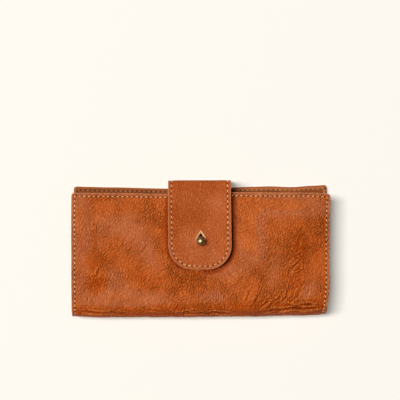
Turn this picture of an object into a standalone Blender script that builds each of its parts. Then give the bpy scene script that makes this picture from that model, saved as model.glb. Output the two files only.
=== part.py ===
"""Long bifold wallet with a buttoned closure tab, closed and lying on its back.

Metres, +Z up. +X runs along the width, +Y towards the tab, and +Z is the thickness. The origin is the middle of
the box that the closed wallet fills, on the surface that it lies on. Every moving group hangs on an empty that
stands on its joint's axis.
"""

import math

import bmesh
import bpy
from mathutils import Vector

# ---------------------------------------------------------------- driving dimensions

GAP = 0.0003  # clearance between neighbouring pieces

HALF_WIDTH = 0.0952  # half of the covers' greatest width
FOLD_TAPER = 0.0022  # how much each side draws in at the spine
FOLD_TAPER_REACH = 0.030  # height over which it draws in
SPINE_Y = -0.0508  # outermost line of the spine
FRONT_TOP_Y = 0.0421  # top edge of the front cover
BACK_TOP_Y = 0.0464  # top edge of the back cover, which stands proud of the front
THICKNESS = 0.020  # closed wallet, without tab and stud
COVER_CORNER_R = 0.0025

LEATHER = 0.0015  # outer leather
BOARD = 0.0010  # stiffener boards
LINING = 0.0008  # linings and pocket walls
FOLD_R = 0.008  # outer radius of the leather at each fold beside the spine
SEAM_INSET = 0.0026  # seam to cut edge
THREAD_R = 0.0003

FOLD_CLEARANCE = 0.0020  # flat pieces and seams stop this far short of the fold
INNER_HALF_WIDTH = 0.0937  # boards and linings
INNER_LOW_Y = SPINE_Y + FOLD_R + FOLD_CLEARANCE
INNER_CORNER_R = 0.0015
LINING_INSET = 0.0007  # edge of a lining inside the cover's top edge
BOARD_INSET = 0.0015

POCKET_HALF_WIDTH = 0.0908  # pockets, inside the covers' seams
POCKET_LOW_Y = INNER_LOW_Y + 0.001

NOTE_ROOM = 0.0005  # slack in each note pocket when it is empty
BACK_NOTE_TOP_Y = 0.033
FRONT_NOTE_TOP_Y = FRONT_TOP_Y - 0.004

CARD_TIERS = 4
CARD_TIER_STEP = 0.011
CARD_TOP_Y = 0.034
CARD_LEATHER = 0.0006
CARD_TIER_DROP = 0.0009  # each tier lies this much nearer the middle of the wallet
CARD_COLUMN_GAP = 0.002

TAB_HALF_WIDTH = 0.0232
TAB_END_Y = -0.0147
TAB_OUTER_Y = 0.0508  # outermost line of the tab, past the back cover's edge
TAB_PLY = 0.0010
TAB_FOLD_R = 0.003
TAB_CORNER_R = 0.0180
TAB_REST = 0.0011  # height of the tab's lining over the front cover, which clears the seam thread
TAB_SEWN_DEPTH = 0.013
TAB_LOW_Z = LEATHER + GAP  # outer face of the tab where it comes out of the top seam

STUD_X = 0.0003
STUD_Y = 0.0064
STUD_BALL_R = 0.00345
STUD_BALL_Z = THICKNESS + 0.0061
STUD_NECK_R = 0.0019
STUD_FLANGE_R = 0.0029
STUD_FLANGE_THICKNESS = 0.0005
STUD_SCREW_R = 0.0010
STUD_SCREW_HEAD_R = 0.0028
STUD_SCREW_HEAD_CLEARANCE = 0.0001
STUD_BORE_R = STUD_SCREW_R + GAP
STUD_BORE_TOP_Z = THICKNESS + 0.0028
HOLE_R = 0.0035  # round part of the teardrop hole
HOLE_TIP = 0.0064  # from the middle of the round part to the tip
HOLE_OFFSET = 0.0010  # the hole's round part sits a little nearer the tab's fold than the stud

POUCH_HALF_WIDTH = 0.0860
POUCH_LOW_Y = -0.0388
POUCH_TOP_Y = 0.0360
POUCH_LOW_Z = 0.0055
POUCH_ROOM = 0.0028  # between the walls
POUCH_WALL = 0.0008
GUSSET_WIDTH = 0.0016
GUSSET_INSET = 0.0010
GUSSET_EDGE = 0.0004

ZIP_TAPE = 0.0004
ZIP_TAPE_DEPTH = 0.011
ZIP_HALF_LENGTH = 0.0815
TOOTH_PITCH = 0.0025
TOOTH_LENGTH = 0.0010
TEETH_BACK = 0.0008  # solid back of each row of teeth
TEETH_THICKNESS = 0.0016
TEETH_MIDDLE_GAP = 0.0010
STOP_LENGTH = 0.0020
STOP_EDGE = 0.0002
SLIDER_X = 0.0740
SLIDER_LENGTH = 0.0085
SLIDER_WIDTH = 0.0070
SLIDER_PLATE = 0.0010
SLIDER_NECK = 0.0005
SLIDER_KEEL = 0.0012
SLIDER_KEEL_DEPTH = 0.0010
SLIDER_KEEL_LENGTH = 0.0051
SLIDER_LUG = 0.0008
SLIDER_LUG_LENGTH = 0.0024
PULL_LENGTH = 0.0220
PULL_WIDTH = 0.0044
PULL_THICKNESS = 0.0012
PULL_RISE = 0.0018  # pin over the slider's plate
PULL_EYE_R = 0.0011
PIN_R = 0.0006
PIN_FIT = 0.00006  # clearance of the pull's eye round the pin

ARC_STEPS = 4  # segments in each rounded corner

# ---------------------------------------------------------------- derived places

POUCH_MIDDLE_Z = POUCH_LOW_Z + POUCH_WALL + POUCH_ROOM / 2
TEETH_Y = POUCH_TOP_Y + GAP
SLIDER_Y = TEETH_Y + TEETH_THICKNESS + GAP
PULL_Y = SLIDER_Y + SLIDER_PLATE + PULL_RISE
TAB_TOP_Z = THICKNESS + TAB_REST + 2 * TAB_PLY + GAP
FRONT_BOARD_Z = THICKNESS - LEATHER - GAP - BOARD
FRONT_LINING_Z = FRONT_BOARD_Z - GAP - LINING
FRONT_NOTE_Z = FRONT_LINING_Z - NOTE_ROOM - LINING
BACK_BOARD_Z = LEATHER + GAP
BACK_LINING_Z = BACK_BOARD_Z + BOARD + GAP
BACK_NOTE_Z = BACK_LINING_Z + LINING + NOTE_ROOM


def hinge_inset(fold_radius):
    """How far inside the sharp corner a fold's axis lies, so that the leather keeps its length when it unfolds."""
    return fold_radius * (1 - math.pi / 4)


SPINE_AXIS_Y = SPINE_Y + hinge_inset(FOLD_R)
BACK_FOLD_AXIS = (0, SPINE_AXIS_Y, hinge_inset(FOLD_R))
FRONT_FOLD_AXIS = (0, SPINE_AXIS_Y, THICKNESS - hinge_inset(FOLD_R))
TAB_AXIS_Y = TAB_OUTER_Y - hinge_inset(TAB_FOLD_R)
TAB_LOW_AXIS = (0, TAB_AXIS_Y, TAB_LOW_Z + hinge_inset(TAB_FOLD_R))
TAB_TOP_AXIS = (0, TAB_AXIS_Y, TAB_TOP_Z - hinge_inset(TAB_FOLD_R))


# ---------------------------------------------------------------- scene and materials


def clear_scene():
    for item in list(bpy.data.objects):
        bpy.data.objects.remove(item, do_unlink=True)


def new_collection(name):
    collection = bpy.data.collections.new(name)
    bpy.context.scene.collection.children.link(collection)
    return collection


def material(name, colour, roughness, metallic=0.0):
    made = bpy.data.materials.new(name)
    made.use_nodes = True
    shader = made.node_tree.nodes["Principled BSDF"]
    shader.inputs["Base Color"].default_value = (*colour, 1.0)
    shader.inputs["Roughness"].default_value = roughness
    shader.inputs["Metallic"].default_value = metallic
    made.diffuse_color = (*colour, 1.0)
    return made


clear_scene()
PARTS = new_collection("long_wallet")
CUTTERS = new_collection("cutters")

COGNAC = material("cognac_leather", (0.45, 0.11, 0.030), 0.50)
TAB_LEATHER = material("tab_leather", (0.42, 0.105, 0.030), 0.45)
LINING_LEATHER = material("lining_leather", (0.30, 0.085, 0.028), 0.60)
POCKET_LEATHER = material("pocket_leather", (0.43, 0.12, 0.036), 0.55)
FIBREBOARD = material("fibreboard", (0.30, 0.22, 0.15), 0.90)
THREAD = material("waxed_thread", (0.72, 0.48, 0.30), 0.70)
ZIP_TAPE_FABRIC = material("zip_tape_fabric", (0.10, 0.045, 0.022), 0.85)
ANTIQUE_BRASS = material("antique_brass", (0.34, 0.26, 0.15), 0.35, 1.0)
STEEL = material("screw_steel", (0.50, 0.50, 0.50), 0.40, 1.0)


def new_empty(name, place, parent=None):
    empty = bpy.data.objects.new(name, None)
    empty.empty_display_size = 0.01
    PARTS.objects.link(empty)
    hang(empty, parent)
    empty.matrix_world.translation = Vector(place)
    bpy.context.view_layer.update()
    return empty


def hang(item, parent):
    """Parents item to an empty without moving it."""
    if parent is not None:
        bpy.context.view_layer.update()
        item.parent = parent
        item.matrix_parent_inverse = parent.matrix_world.inverted()


def add_object(name, data, body, finish):
    made = bpy.data.objects.new(name, data)
    data.materials.append(finish)
    PARTS.objects.link(made)
    hang(made, body)
    return made


def soften(item, width=0.0003, segments=2):
    """Rounds the edges of a piece. Curves are welded first, because their caps are loose."""
    if item.type == "CURVE":
        weld = item.modifiers.new("weld", "WELD")
        weld.merge_threshold = 0.00001
    bevel = item.modifiers.new("soft_edges", "BEVEL")
    bevel.width = width
    bevel.segments = segments
    bevel.limit_method = "ANGLE"
    bevel.angle_limit = math.radians(50)


# ---------------------------------------------------------------- outlines and sections


def arc(centre, radius, start, end, steps=ARC_STEPS):
    """Points on an arc from one angle to another, in degrees."""
    angles = [math.radians(start + (end - start) * i / steps) for i in range(steps + 1)]
    return [(centre[0] + radius * math.cos(a), centre[1] + radius * math.sin(a)) for a in angles]


def rounded_rectangle(left, right, low, high, radius):
    """Outline of a rectangle with round corners, anticlockwise."""
    return (
        arc((right - radius, low + radius), radius, -90, 0)
        + arc((right - radius, high - radius), radius, 0, 90)
        + arc((left + radius, high - radius), radius, 90, 180)
        + arc((left + radius, low + radius), radius, 180, 270)
    )


def centred_rectangle(half_width, low, high, radius):
    return rounded_rectangle(-half_width, half_width, low, high, radius)


def cover_half_width(y):
    """Half of the covers' width at y: straight sides that draw in towards the spine."""
    reach = max(0.0, 1 - (y - SPINE_Y) / FOLD_TAPER_REACH)
    return HALF_WIDTH - FOLD_TAPER * reach**2


def side_rows(low, high, count):
    return [low + (high - low) * i / count for i in range(count + 1)]


# ---------------------------------------------------------------- ways of making a piece


def plate(name, outline, low_z, thickness, body, finish, holes=()):
    """A flat piece: its outline as a filled 2D curve, extruded to its thickness. Holes are further outlines."""
    curve = bpy.data.curves.new(name, "CURVE")
    curve.dimensions = "2D"
    curve.fill_mode = "BOTH"
    curve.extrude = thickness / 2
    for loop in (outline, *holes):
        spline = curve.splines.new("POLY")
        spline.points.add(len(loop) - 1)
        for point, (x, y) in zip(spline.points, loop):
            point.co = (x, y, 0, 1)
        spline.use_cyclic_u = True
    made = bpy.data.objects.new(name, curve)
    curve.materials.append(finish)
    PARTS.objects.link(made)
    made.location.z = low_z + thickness / 2
    hang(made, body)
    return made


def box(name, low, high, body, finish, edge=0.0):
    """A block between two corners, with softened edges if edge is given."""
    bpy.ops.mesh.primitive_cube_add(size=1)
    made = bpy.context.object
    made.name = name
    made.data.name = name
    size = [b - a for a, b in zip(low, high)]
    middle = [(a + b) / 2 for a, b in zip(low, high)]
    for vertex in made.data.vertices:
        vertex.co = Vector([c * s for c, s in zip(vertex.co, size)])
    made.location = middle
    made.data.materials.append(finish)
    for collection in list(made.users_collection):
        collection.objects.unlink(made)
    PARTS.objects.link(made)
    hang(made, body)
    if edge:
        soften(made, edge, 1)
    return made


def bent_sheet(name, section, half_width, thickness, body, finish, corner_r=0.0):
    """A sheet bent along a section of (y, z) points on its outer face, walked so that X cross the walk points out.

    half_width gives the sheet's half width at each y. corner_r rounds the two corners at the section's free end,
    which is its first point.
    """
    mesh = bpy.data.meshes.new(name)
    bm = bmesh.new()
    rows = []
    for y, z in section:
        half = half_width(y)
        rows.append((bm.verts.new((-half, y, z)), bm.verts.new((half, y, z))))
    for (left_a, right_a), (left_b, right_b) in zip(rows, rows[1:]):
        bm.faces.new((left_a, right_a, right_b, left_b))
    if corner_r:
        bmesh.ops.bevel(
            bm, geom=list(rows[0]), offset=corner_r, affect="VERTICES", segments=2 * ARC_STEPS, profile=0.5
        )
    bm.to_mesh(mesh)
    bm.free()
    made = add_object(name, mesh, body, finish)
    solid = made.modifiers.new("thickness", "SOLIDIFY")
    solid.thickness = thickness
    solid.offset = -1
    solid.use_even_offset = True
    return made


def strand(name, points, body):
    """A seam's thread: one tube through points."""
    curve = bpy.data.curves.new(name, "CURVE")
    curve.dimensions = "3D"
    curve.bevel_depth = THREAD_R
    curve.bevel_resolution = 1
    curve.use_fill_caps = True
    spline = curve.splines.new("POLY")
    spline.points.add(len(points) - 1)
    for point, place in zip(spline.points, points):
        point.co = (*place, 1)
    add_object(name, curve, body, THREAD)


def turned(name, profile, place, body, finish, steps=24):
    """A turned piece from (radius, z) points that run from the top of its axis to the bottom."""
    mesh = bpy.data.meshes.new(name)
    points = [(radius, 0, z) for radius, z in profile]
    mesh.from_pydata(points, [(i, i + 1) for i in range(len(points) - 1)], [])
    made = add_object(name, mesh, None, finish)
    made.location = place
    hang(made, body)
    screw = made.modifiers.new("turn", "SCREW")
    screw.steps = steps
    screw.render_steps = steps
    screw.use_merge_vertices = True
    screw.merge_threshold = 0.00001


def cutter_from_outline(name, outline, low_z, high_z):
    """A closed prism that cuts other pieces."""
    mesh = bpy.data.meshes.new(name)
    bm = bmesh.new()
    face = bm.faces.new([bm.verts.new((x, y, low_z)) for x, y in outline])
    risen = bmesh.ops.extrude_face_region(bm, geom=[face])["geom"]
    bmesh.ops.translate(
        bm, verts=[v for v in risen if isinstance(v, bmesh.types.BMVert)], vec=(0, 0, high_z - low_z)
    )
    bmesh.ops.recalc_face_normals(bm, faces=bm.faces)
    bm.to_mesh(mesh)
    bm.free()
    made = bpy.data.objects.new(name, mesh)
    made.display_type = "WIRE"
    made.hide_render = True
    CUTTERS.objects.link(made)
    return made


def combine(item, other, operation):
    """Adds another object to a piece ("UNION") or takes it away ("DIFFERENCE")."""
    boolean = item.modifiers.new(other.name, "BOOLEAN")
    boolean.operation = operation
    boolean.solver = "EXACT"
    boolean.object = other


# ---------------------------------------------------------------- outer leather


def fold_gap_angle(radius):
    """Half of the clearance between two leather pieces that meet in a fold, in degrees."""
    return math.degrees(GAP / radius)


def make_covers(front, spine):
    """The hide that makes the back cover, the spine and the front cover, split in the middle of each fold."""
    low_centre = (SPINE_Y + FOLD_R, FOLD_R)
    high_centre = (SPINE_Y + FOLD_R, THICKNESS - FOLD_R)
    part = fold_gap_angle(FOLD_R)
    taper_rows = side_rows(low_centre[0], SPINE_Y + FOLD_TAPER_REACH, 3)

    back_section = [(BACK_TOP_Y, 0.0)]
    back_section += [(y, 0.0) for y in reversed(taper_rows[1:])]
    back_section += arc(low_centre, FOLD_R, -90, -135 + part)
    back = bent_sheet(
        "back_cover", back_section, cover_half_width, LEATHER, None, COGNAC, COVER_CORNER_R
    )
    soften(back)

    spine_section = arc(low_centre, FOLD_R, -135 - part, -180)
    spine_section += arc(high_centre, FOLD_R, 180, 135 + part)
    soften(bent_sheet("spine_leather", spine_section, cover_half_width, LEATHER, spine, COGNAC))

    # The front is walked from its top edge to the fold and then turned over, so that its outer face is up.
    front_section = [(FRONT_TOP_Y, THICKNESS)]
    front_section += [(y, THICKNESS) for y in reversed(taper_rows[1:])]
    front_section += arc(high_centre, FOLD_R, 90, 135 - part)
    cover = bent_sheet(
        "front_cover", front_section, cover_half_width, LEATHER, front, COGNAC, COVER_CORNER_R
    )
    cover.data.flip_normals()
    combine(cover, stud_hole_cutter(), "DIFFERENCE")
    soften(cover)

    lining_r = FOLD_R - LEATHER - GAP
    lining_section = arc(low_centre, lining_r, -135 - 2 * part, -180)
    lining_section += arc(high_centre, lining_r, 180, 135 + 2 * part)
    bent_sheet("spine_lining", lining_section, spine_lining_half_width, LINING, spine, LINING_LEATHER)


def spine_lining_half_width(y):
    return cover_half_width(y) - SEAM_INSET / 2


def stud_hole_cutter():
    outline = arc((STUD_X, STUD_Y), STUD_BORE_R, 0, 345, 23)
    return cutter_from_outline("stud_hole_cutter", outline, THICKNESS - 2 * LEATHER, THICKNESS + LEATHER)


def cover_seam(top_y, low_y, z):
    """A U along a cover's sides and top, inset from its edge."""
    sides = side_rows(low_y, top_y - SEAM_INSET, 5)
    right = [(cover_half_width(y) - SEAM_INSET, y, z) for y in sides]
    return right + [(-x, y, z) for x, y, z in reversed(right)]


def make_cover_threads(front):
    front_z = THICKNESS + GAP + THREAD_R
    strand("front_cover_thread", cover_seam(FRONT_TOP_Y, INNER_LOW_Y, front_z), front)
    back_z = BACK_LINING_Z + LINING + GAP + THREAD_R
    strand("back_cover_thread", cover_seam(BACK_TOP_Y, INNER_LOW_Y + FOLD_CLEARANCE, back_z), None)


# ---------------------------------------------------------------- boards, linings and pockets


def make_boards_and_linings(front):
    notch = TAB_HALF_WIDTH + 2 * GAP
    notch_low = BACK_TOP_Y - TAB_SEWN_DEPTH - 2 * GAP
    board_top = BACK_TOP_Y - BOARD_INSET
    outline = centred_rectangle(INNER_HALF_WIDTH, INNER_LOW_Y, board_top, INNER_CORNER_R)
    middle = 2 * (ARC_STEPS + 1)
    outline[middle:middle] = [
        (notch, board_top),
        (notch, notch_low),
        (-notch, notch_low),
        (-notch, board_top),
    ]
    plate("back_board", outline, BACK_BOARD_Z, BOARD, None, FIBREBOARD)

    lining = centred_rectangle(INNER_HALF_WIDTH, INNER_LOW_Y, BACK_TOP_Y - LINING_INSET, INNER_CORNER_R)
    plate("back_lining", lining, BACK_LINING_Z, LINING, None, LINING_LEATHER)

    lining = centred_rectangle(INNER_HALF_WIDTH, INNER_LOW_Y, FRONT_TOP_Y - LINING_INSET, INNER_CORNER_R)
    screw_room = arc((STUD_X, STUD_Y), STUD_SCREW_HEAD_R + GAP, 0, 345, 23)
    plate("front_board", lining, FRONT_BOARD_Z, BOARD, front, FIBREBOARD, [screw_room])
    plate("front_lining", lining, FRONT_LINING_Z, LINING, front, LINING_LEATHER)


def make_note_pockets(front):
    wall = centred_rectangle(POCKET_HALF_WIDTH, POCKET_LOW_Y, BACK_NOTE_TOP_Y, INNER_CORNER_R)
    plate("back_note_pocket", wall, BACK_NOTE_Z, LINING, None, POCKET_LEATHER)
    wall = centred_rectangle(POCKET_HALF_WIDTH, POCKET_LOW_Y, FRONT_NOTE_TOP_Y, INNER_CORNER_R)
    plate("front_note_pocket", wall, FRONT_NOTE_Z, LINING, front, POCKET_LEATHER)


def make_card_pockets(front):
    """Two columns of pockets, each tier lower and nearer the middle of the wallet than the one behind it."""
    for side, sign in (("left", -1), ("right", 1)):
        near = sign * CARD_COLUMN_GAP / 2
        far = sign * POCKET_HALF_WIDTH
        for tier in range(CARD_TIERS):
            top = CARD_TOP_Y - tier * CARD_TIER_STEP
            left, right = sorted((near, far))
            outline = rounded_rectangle(left, right, POCKET_LOW_Y, top, INNER_CORNER_R)
            z = FRONT_NOTE_Z - (tier + 1) * CARD_TIER_DROP
            plate(f"card_pocket_{side}_{tier + 1}", outline, z, CARD_LEATHER, front, POCKET_LEATHER)


# ---------------------------------------------------------------- coin pouch and zip


def make_coin_pouch():
    wall = centred_rectangle(POUCH_HALF_WIDTH, POUCH_LOW_Y, POUCH_TOP_Y, INNER_CORNER_R)
    front_wall_z = POUCH_LOW_Z + POUCH_WALL + POUCH_ROOM
    plate("coin_pouch_rear_wall", wall, POUCH_LOW_Z, POUCH_WALL, None, LINING_LEATHER)
    plate("coin_pouch_front_wall", wall, front_wall_z, POUCH_WALL, None, LINING_LEATHER)
    for side, sign in (("left", -1), ("right", 1)):
        far = POUCH_HALF_WIDTH - GUSSET_INSET
        left, right = sorted((sign * far, sign * (far - GUSSET_WIDTH)))
        box(
            f"coin_pouch_{side}_gusset",
            (left, POUCH_LOW_Y + GUSSET_INSET, POUCH_LOW_Z + POUCH_WALL + GAP),
            (right, POUCH_TOP_Y - GUSSET_INSET, front_wall_z - GAP),
            None,
            LINING_LEATHER,
            GUSSET_EDGE,
        )
    z = front_wall_z + POUCH_WALL + GAP + THREAD_R
    low = POUCH_LOW_Y + SEAM_INSET
    side = POUCH_HALF_WIDTH - SEAM_INSET
    high = POUCH_TOP_Y - SEAM_INSET
    points = [(side, high, z), (side, low, z), (-side, low, z), (-side, high, z)]
    strand("coin_pouch_thread", points, None)


def make_zip_tapes():
    inner = POUCH_ROOM / 2 - GAP - ZIP_TAPE
    tape = centred_rectangle(
        ZIP_HALF_LENGTH, POUCH_TOP_Y - ZIP_TAPE_DEPTH, POUCH_TOP_Y, ZIP_TAPE
    )
    plate("zip_tape_rear", tape, POUCH_MIDDLE_Z - inner - ZIP_TAPE, ZIP_TAPE, None, ZIP_TAPE_FABRIC)
    plate("zip_tape_front", tape, POUCH_MIDDLE_Z + inner, ZIP_TAPE, None, ZIP_TAPE_FABRIC)


def teeth_outline(sign):
    """Comb outline in X and Z: a solid back with square teeth that point at the middle of the zip."""
    tooth_tip = TEETH_MIDDLE_GAP / 2
    root = tooth_tip + TOOTH_LENGTH
    back = root + TEETH_BACK
    count = int(2 * (ZIP_HALF_LENGTH - STOP_LENGTH - GAP) / TOOTH_PITCH)
    start = -count * TOOTH_PITCH / 2
    shift = TOOTH_PITCH / 4 * sign
    comb = [(start, back), (start, root)]
    for tooth in range(count):
        left = start + tooth * TOOTH_PITCH + TOOTH_PITCH / 4 + shift
        right = left + TOOTH_PITCH / 2
        comb += [(left, root), (left, tooth_tip), (right, tooth_tip), (right, root)]
    comb += [(-start, root), (-start, back)]
    unique = [comb[0]] + [p for before, p in zip(comb, comb[1:]) if math.dist(before, p) > GAP / 2]
    return [(x, sign * z) for x, z in unique]


def make_zip_teeth():
    """The comb is drawn flat and then stood on edge, its thickness along Y."""
    for side, sign in (("rear", -1), ("front", 1)):
        outline = teeth_outline(sign)
        row = plate(f"zip_teeth_{side}", outline, 0, TEETH_THICKNESS, None, ANTIQUE_BRASS)
        row.rotation_euler.x = math.radians(90)
        row.location = (0, TEETH_Y + TEETH_THICKNESS / 2, POUCH_MIDDLE_Z)
    for end, sign in (("closed", 1), ("open", -1)):
        left, right = sorted((sign * ZIP_HALF_LENGTH, sign * (ZIP_HALF_LENGTH - STOP_LENGTH)))
        half = TEETH_MIDDLE_GAP / 2 + TOOTH_LENGTH
        box(
            f"zip_stop_{end}_end",
            (left, TEETH_Y, POUCH_MIDDLE_Z - half),
            (right, TEETH_Y + TEETH_THICKNESS, POUCH_MIDDLE_Z + half),
            None,
            ANTIQUE_BRASS,
            STOP_EDGE,
        )


def slider_block(name, length, width, y_range, z, body):
    """A block centred on the slider along X and at z across the zip."""
    low = (SLIDER_X - length / 2, y_range[0], POUCH_MIDDLE_Z + z - width / 2)
    high = (SLIDER_X + length / 2, y_range[1], POUCH_MIDDLE_Z + z + width / 2)
    return box(name, low, high, body, ANTIQUE_BRASS)


def make_zip_slider(slider):
    """Outer plate with two lugs for the pull's pin, a neck between the rows of teeth, and an inner keel."""
    keel_high = TEETH_Y - 2 * GAP
    keel_low = keel_high - SLIDER_KEEL_DEPTH
    inside_plate = SLIDER_Y + SLIDER_PLATE / 2
    lug_high = PULL_Y + PIN_R + GAP
    lug_z = PULL_WIDTH / 2 + GAP + SLIDER_LUG / 2
    plate_range = (SLIDER_Y, SLIDER_Y + SLIDER_PLATE)
    body = slider_block("zip_slider", SLIDER_LENGTH, SLIDER_WIDTH, plate_range, 0, slider)
    lumps = (
        ("slider_neck", SLIDER_KEEL_LENGTH, SLIDER_NECK, (keel_low + GAP, inside_plate), 0),
        ("slider_keel", SLIDER_KEEL_LENGTH, SLIDER_KEEL, (keel_low, keel_high), 0),
        ("slider_lug_rear", SLIDER_LUG_LENGTH, SLIDER_LUG, (inside_plate, lug_high), -lug_z),
        ("slider_lug_front", SLIDER_LUG_LENGTH, SLIDER_LUG, (inside_plate, lug_high), lug_z),
    )
    for name, length, width, y_range, z in lumps:
        lump = slider_block(name, length, width, y_range, z, None)
        PARTS.objects.unlink(lump)
        CUTTERS.objects.link(lump)
        lump.hide_render = True
        lump.display_type = "WIRE"
        combine(body, lump, "UNION")
    half = (PULL_WIDTH + GAP) / 2
    pin = [(0, half), (PIN_R, half), (PIN_R, -half), (0, -half)]
    turned("zip_pull_pin", pin, (SLIDER_X, PULL_Y, POUCH_MIDDLE_Z), slider, ANTIQUE_BRASS, 12)


def make_zip_pull(pull):
    """A flat tag that lies along the zip, with an eye round the pin."""
    eye = arc((0, 0), PULL_EYE_R, -90, 90, 8)
    half = PULL_THICKNESS / 2
    outline = [(-PULL_LENGTH, -half), (-PULL_EYE_R, -half)] + eye + [(-PULL_EYE_R, half), (-PULL_LENGTH, half)]
    bore = arc((0, 0), PIN_R + PIN_FIT, 0, 330, 11)
    tag = plate("zip_pull", outline, 0, PULL_WIDTH, None, ANTIQUE_BRASS, [bore])
    tag.location = (SLIDER_X, PULL_Y, POUCH_MIDDLE_Z)
    hang(tag, pull)


# ---------------------------------------------------------------- tab and stud


def tab_section(offset):
    """The tab's path in Y and Z, offset inwards from its outer face: tongue, top fold, bridge, low fold."""
    radius = TAB_FOLD_R - offset
    top = (TAB_OUTER_Y - TAB_FOLD_R, TAB_TOP_Z - TAB_FOLD_R)
    low = (TAB_OUTER_Y - TAB_FOLD_R, TAB_LOW_Z + TAB_FOLD_R)
    part = fold_gap_angle(radius - TAB_PLY / 2)
    tongue = [(TAB_END_Y, TAB_TOP_Z - offset)] + arc(top, radius, 90, 45 + part)
    bridge = arc(top, radius, 45 - part, 0) + arc(low, radius, 0, -45 + part)
    root = arc(low, radius, -45 - part, -90) + [(BACK_TOP_Y - TAB_SEWN_DEPTH, TAB_LOW_Z + offset)]
    return tongue, bridge, root


def teardrop():
    """Outline of the buttonhole: a round part whose sides run on as tangents to a tip towards the tab's fold."""
    centre = (STUD_X, STUD_Y + HOLE_OFFSET)
    lean = math.degrees(math.acos(HOLE_R / HOLE_TIP))
    return arc(centre, HOLE_R, 90 + lean, 450 - lean, 18) + [(centre[0], centre[1] + HOLE_TIP)]


def tab_half_width(y):
    return TAB_HALF_WIDTH


def make_tab(bridge, tongue):
    outer = tab_section(0.0)
    lining = tab_section(TAB_PLY + GAP)
    hole = cutter_from_outline("buttonhole_cutter", teardrop(), THICKNESS, TAB_TOP_Z + TAB_PLY)

    for name, sections in (("outer", outer), ("lining", lining)):
        finish = TAB_LEATHER if name == "outer" else LINING_LEATHER
        made = bent_sheet(
            f"tab_tongue_{name}", sections[0], tab_half_width, TAB_PLY, tongue, finish, TAB_CORNER_R
        )
        combine(made, hole, "DIFFERENCE")
        bent_sheet(f"tab_bridge_{name}", sections[1], tab_half_width, TAB_PLY, bridge, finish)
    bent_sheet("tab_root", outer[2], tab_half_width, TAB_PLY, None, TAB_LEATHER)

    inner_r = TAB_CORNER_R - SEAM_INSET
    side = TAB_HALF_WIDTH - SEAM_INSET
    centre_y = TAB_END_Y + TAB_CORNER_R
    z = TAB_TOP_Z + GAP + THREAD_R
    seam = [(side, TAB_OUTER_Y - 2 * TAB_FOLD_R)]
    seam += arc((side - inner_r, centre_y), inner_r, 0, -90, 6)
    seam += [(-x, y) for x, y in reversed(seam)]
    strand("tab_thread", [(x, y, z) for x, y in seam], tongue)


def make_stud(front):
    """Ball, neck and flange in one turned piece with a blind bore, and the screw that holds it from inside."""
    base = THICKNESS + GAP
    flange_top = base + STUD_FLANGE_THICKNESS
    neck_angle = -math.degrees(math.acos(STUD_NECK_R / STUD_BALL_R))
    ball = arc((0, STUD_BALL_Z), STUD_BALL_R, 90, neck_angle, 10)
    ball[0] = (0, STUD_BALL_Z + STUD_BALL_R)
    profile = ball + [
        (STUD_NECK_R, flange_top),
        (STUD_FLANGE_R, flange_top),
        (STUD_FLANGE_R, base),
        (STUD_BORE_R, base),
        (STUD_BORE_R, STUD_BORE_TOP_Z),
        (0, STUD_BORE_TOP_Z),
    ]
    turned("stud_ball", profile, (STUD_X, STUD_Y, 0), front, ANTIQUE_BRASS)

    head_top = THICKNESS - LEATHER - GAP
    head_low = FRONT_BOARD_Z + STUD_SCREW_HEAD_CLEARANCE
    shank_top = STUD_BORE_TOP_Z - GAP
    screw = [
        (0, shank_top),
        (STUD_SCREW_R, shank_top),
        (STUD_SCREW_R, head_top),
        (STUD_SCREW_HEAD_R, head_top),
        (STUD_SCREW_HEAD_R, head_low),
        (0, head_low),
    ]
    turned("stud_screw", screw, (STUD_X, STUD_Y, 0), front, STEEL)


# ---------------------------------------------------------------- the wallet


def main():
    spine = new_empty("spine_fold_axis", BACK_FOLD_AXIS)
    front = new_empty("front_fold_axis", FRONT_FOLD_AXIS, spine)
    bridge = new_empty("tab_bridge_axis", TAB_LOW_AXIS)
    tongue = new_empty("tab_tongue_axis", TAB_TOP_AXIS, bridge)
    slider = new_empty("zip_slide_axis", (SLIDER_X, SLIDER_Y, POUCH_MIDDLE_Z))
    pull = new_empty("zip_pull_axis", (SLIDER_X, PULL_Y, POUCH_MIDDLE_Z), slider)

    make_covers(front, spine)
    make_cover_threads(front)
    make_boards_and_linings(front)
    make_note_pockets(front)
    make_card_pockets(front)
    make_coin_pouch()
    make_zip_tapes()
    make_zip_teeth()
    make_zip_slider(slider)
    make_zip_pull(pull)
    make_tab(bridge, tongue)
    make_stud(front)
    bpy.context.view_layer.update()


main()
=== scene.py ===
"""Looks of the long wallet: leather, stitching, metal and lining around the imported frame.

Metres, in the frame's own axes: X across the wallet, +Y towards the tab, +Z out of the front cover. Each hide
is drawn flat first, as u across and v along it, and is then wrapped along its section in Y and Z, so that
grain, wrinkles, holes and stitches follow the leather round its folds.
"""

import math

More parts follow.
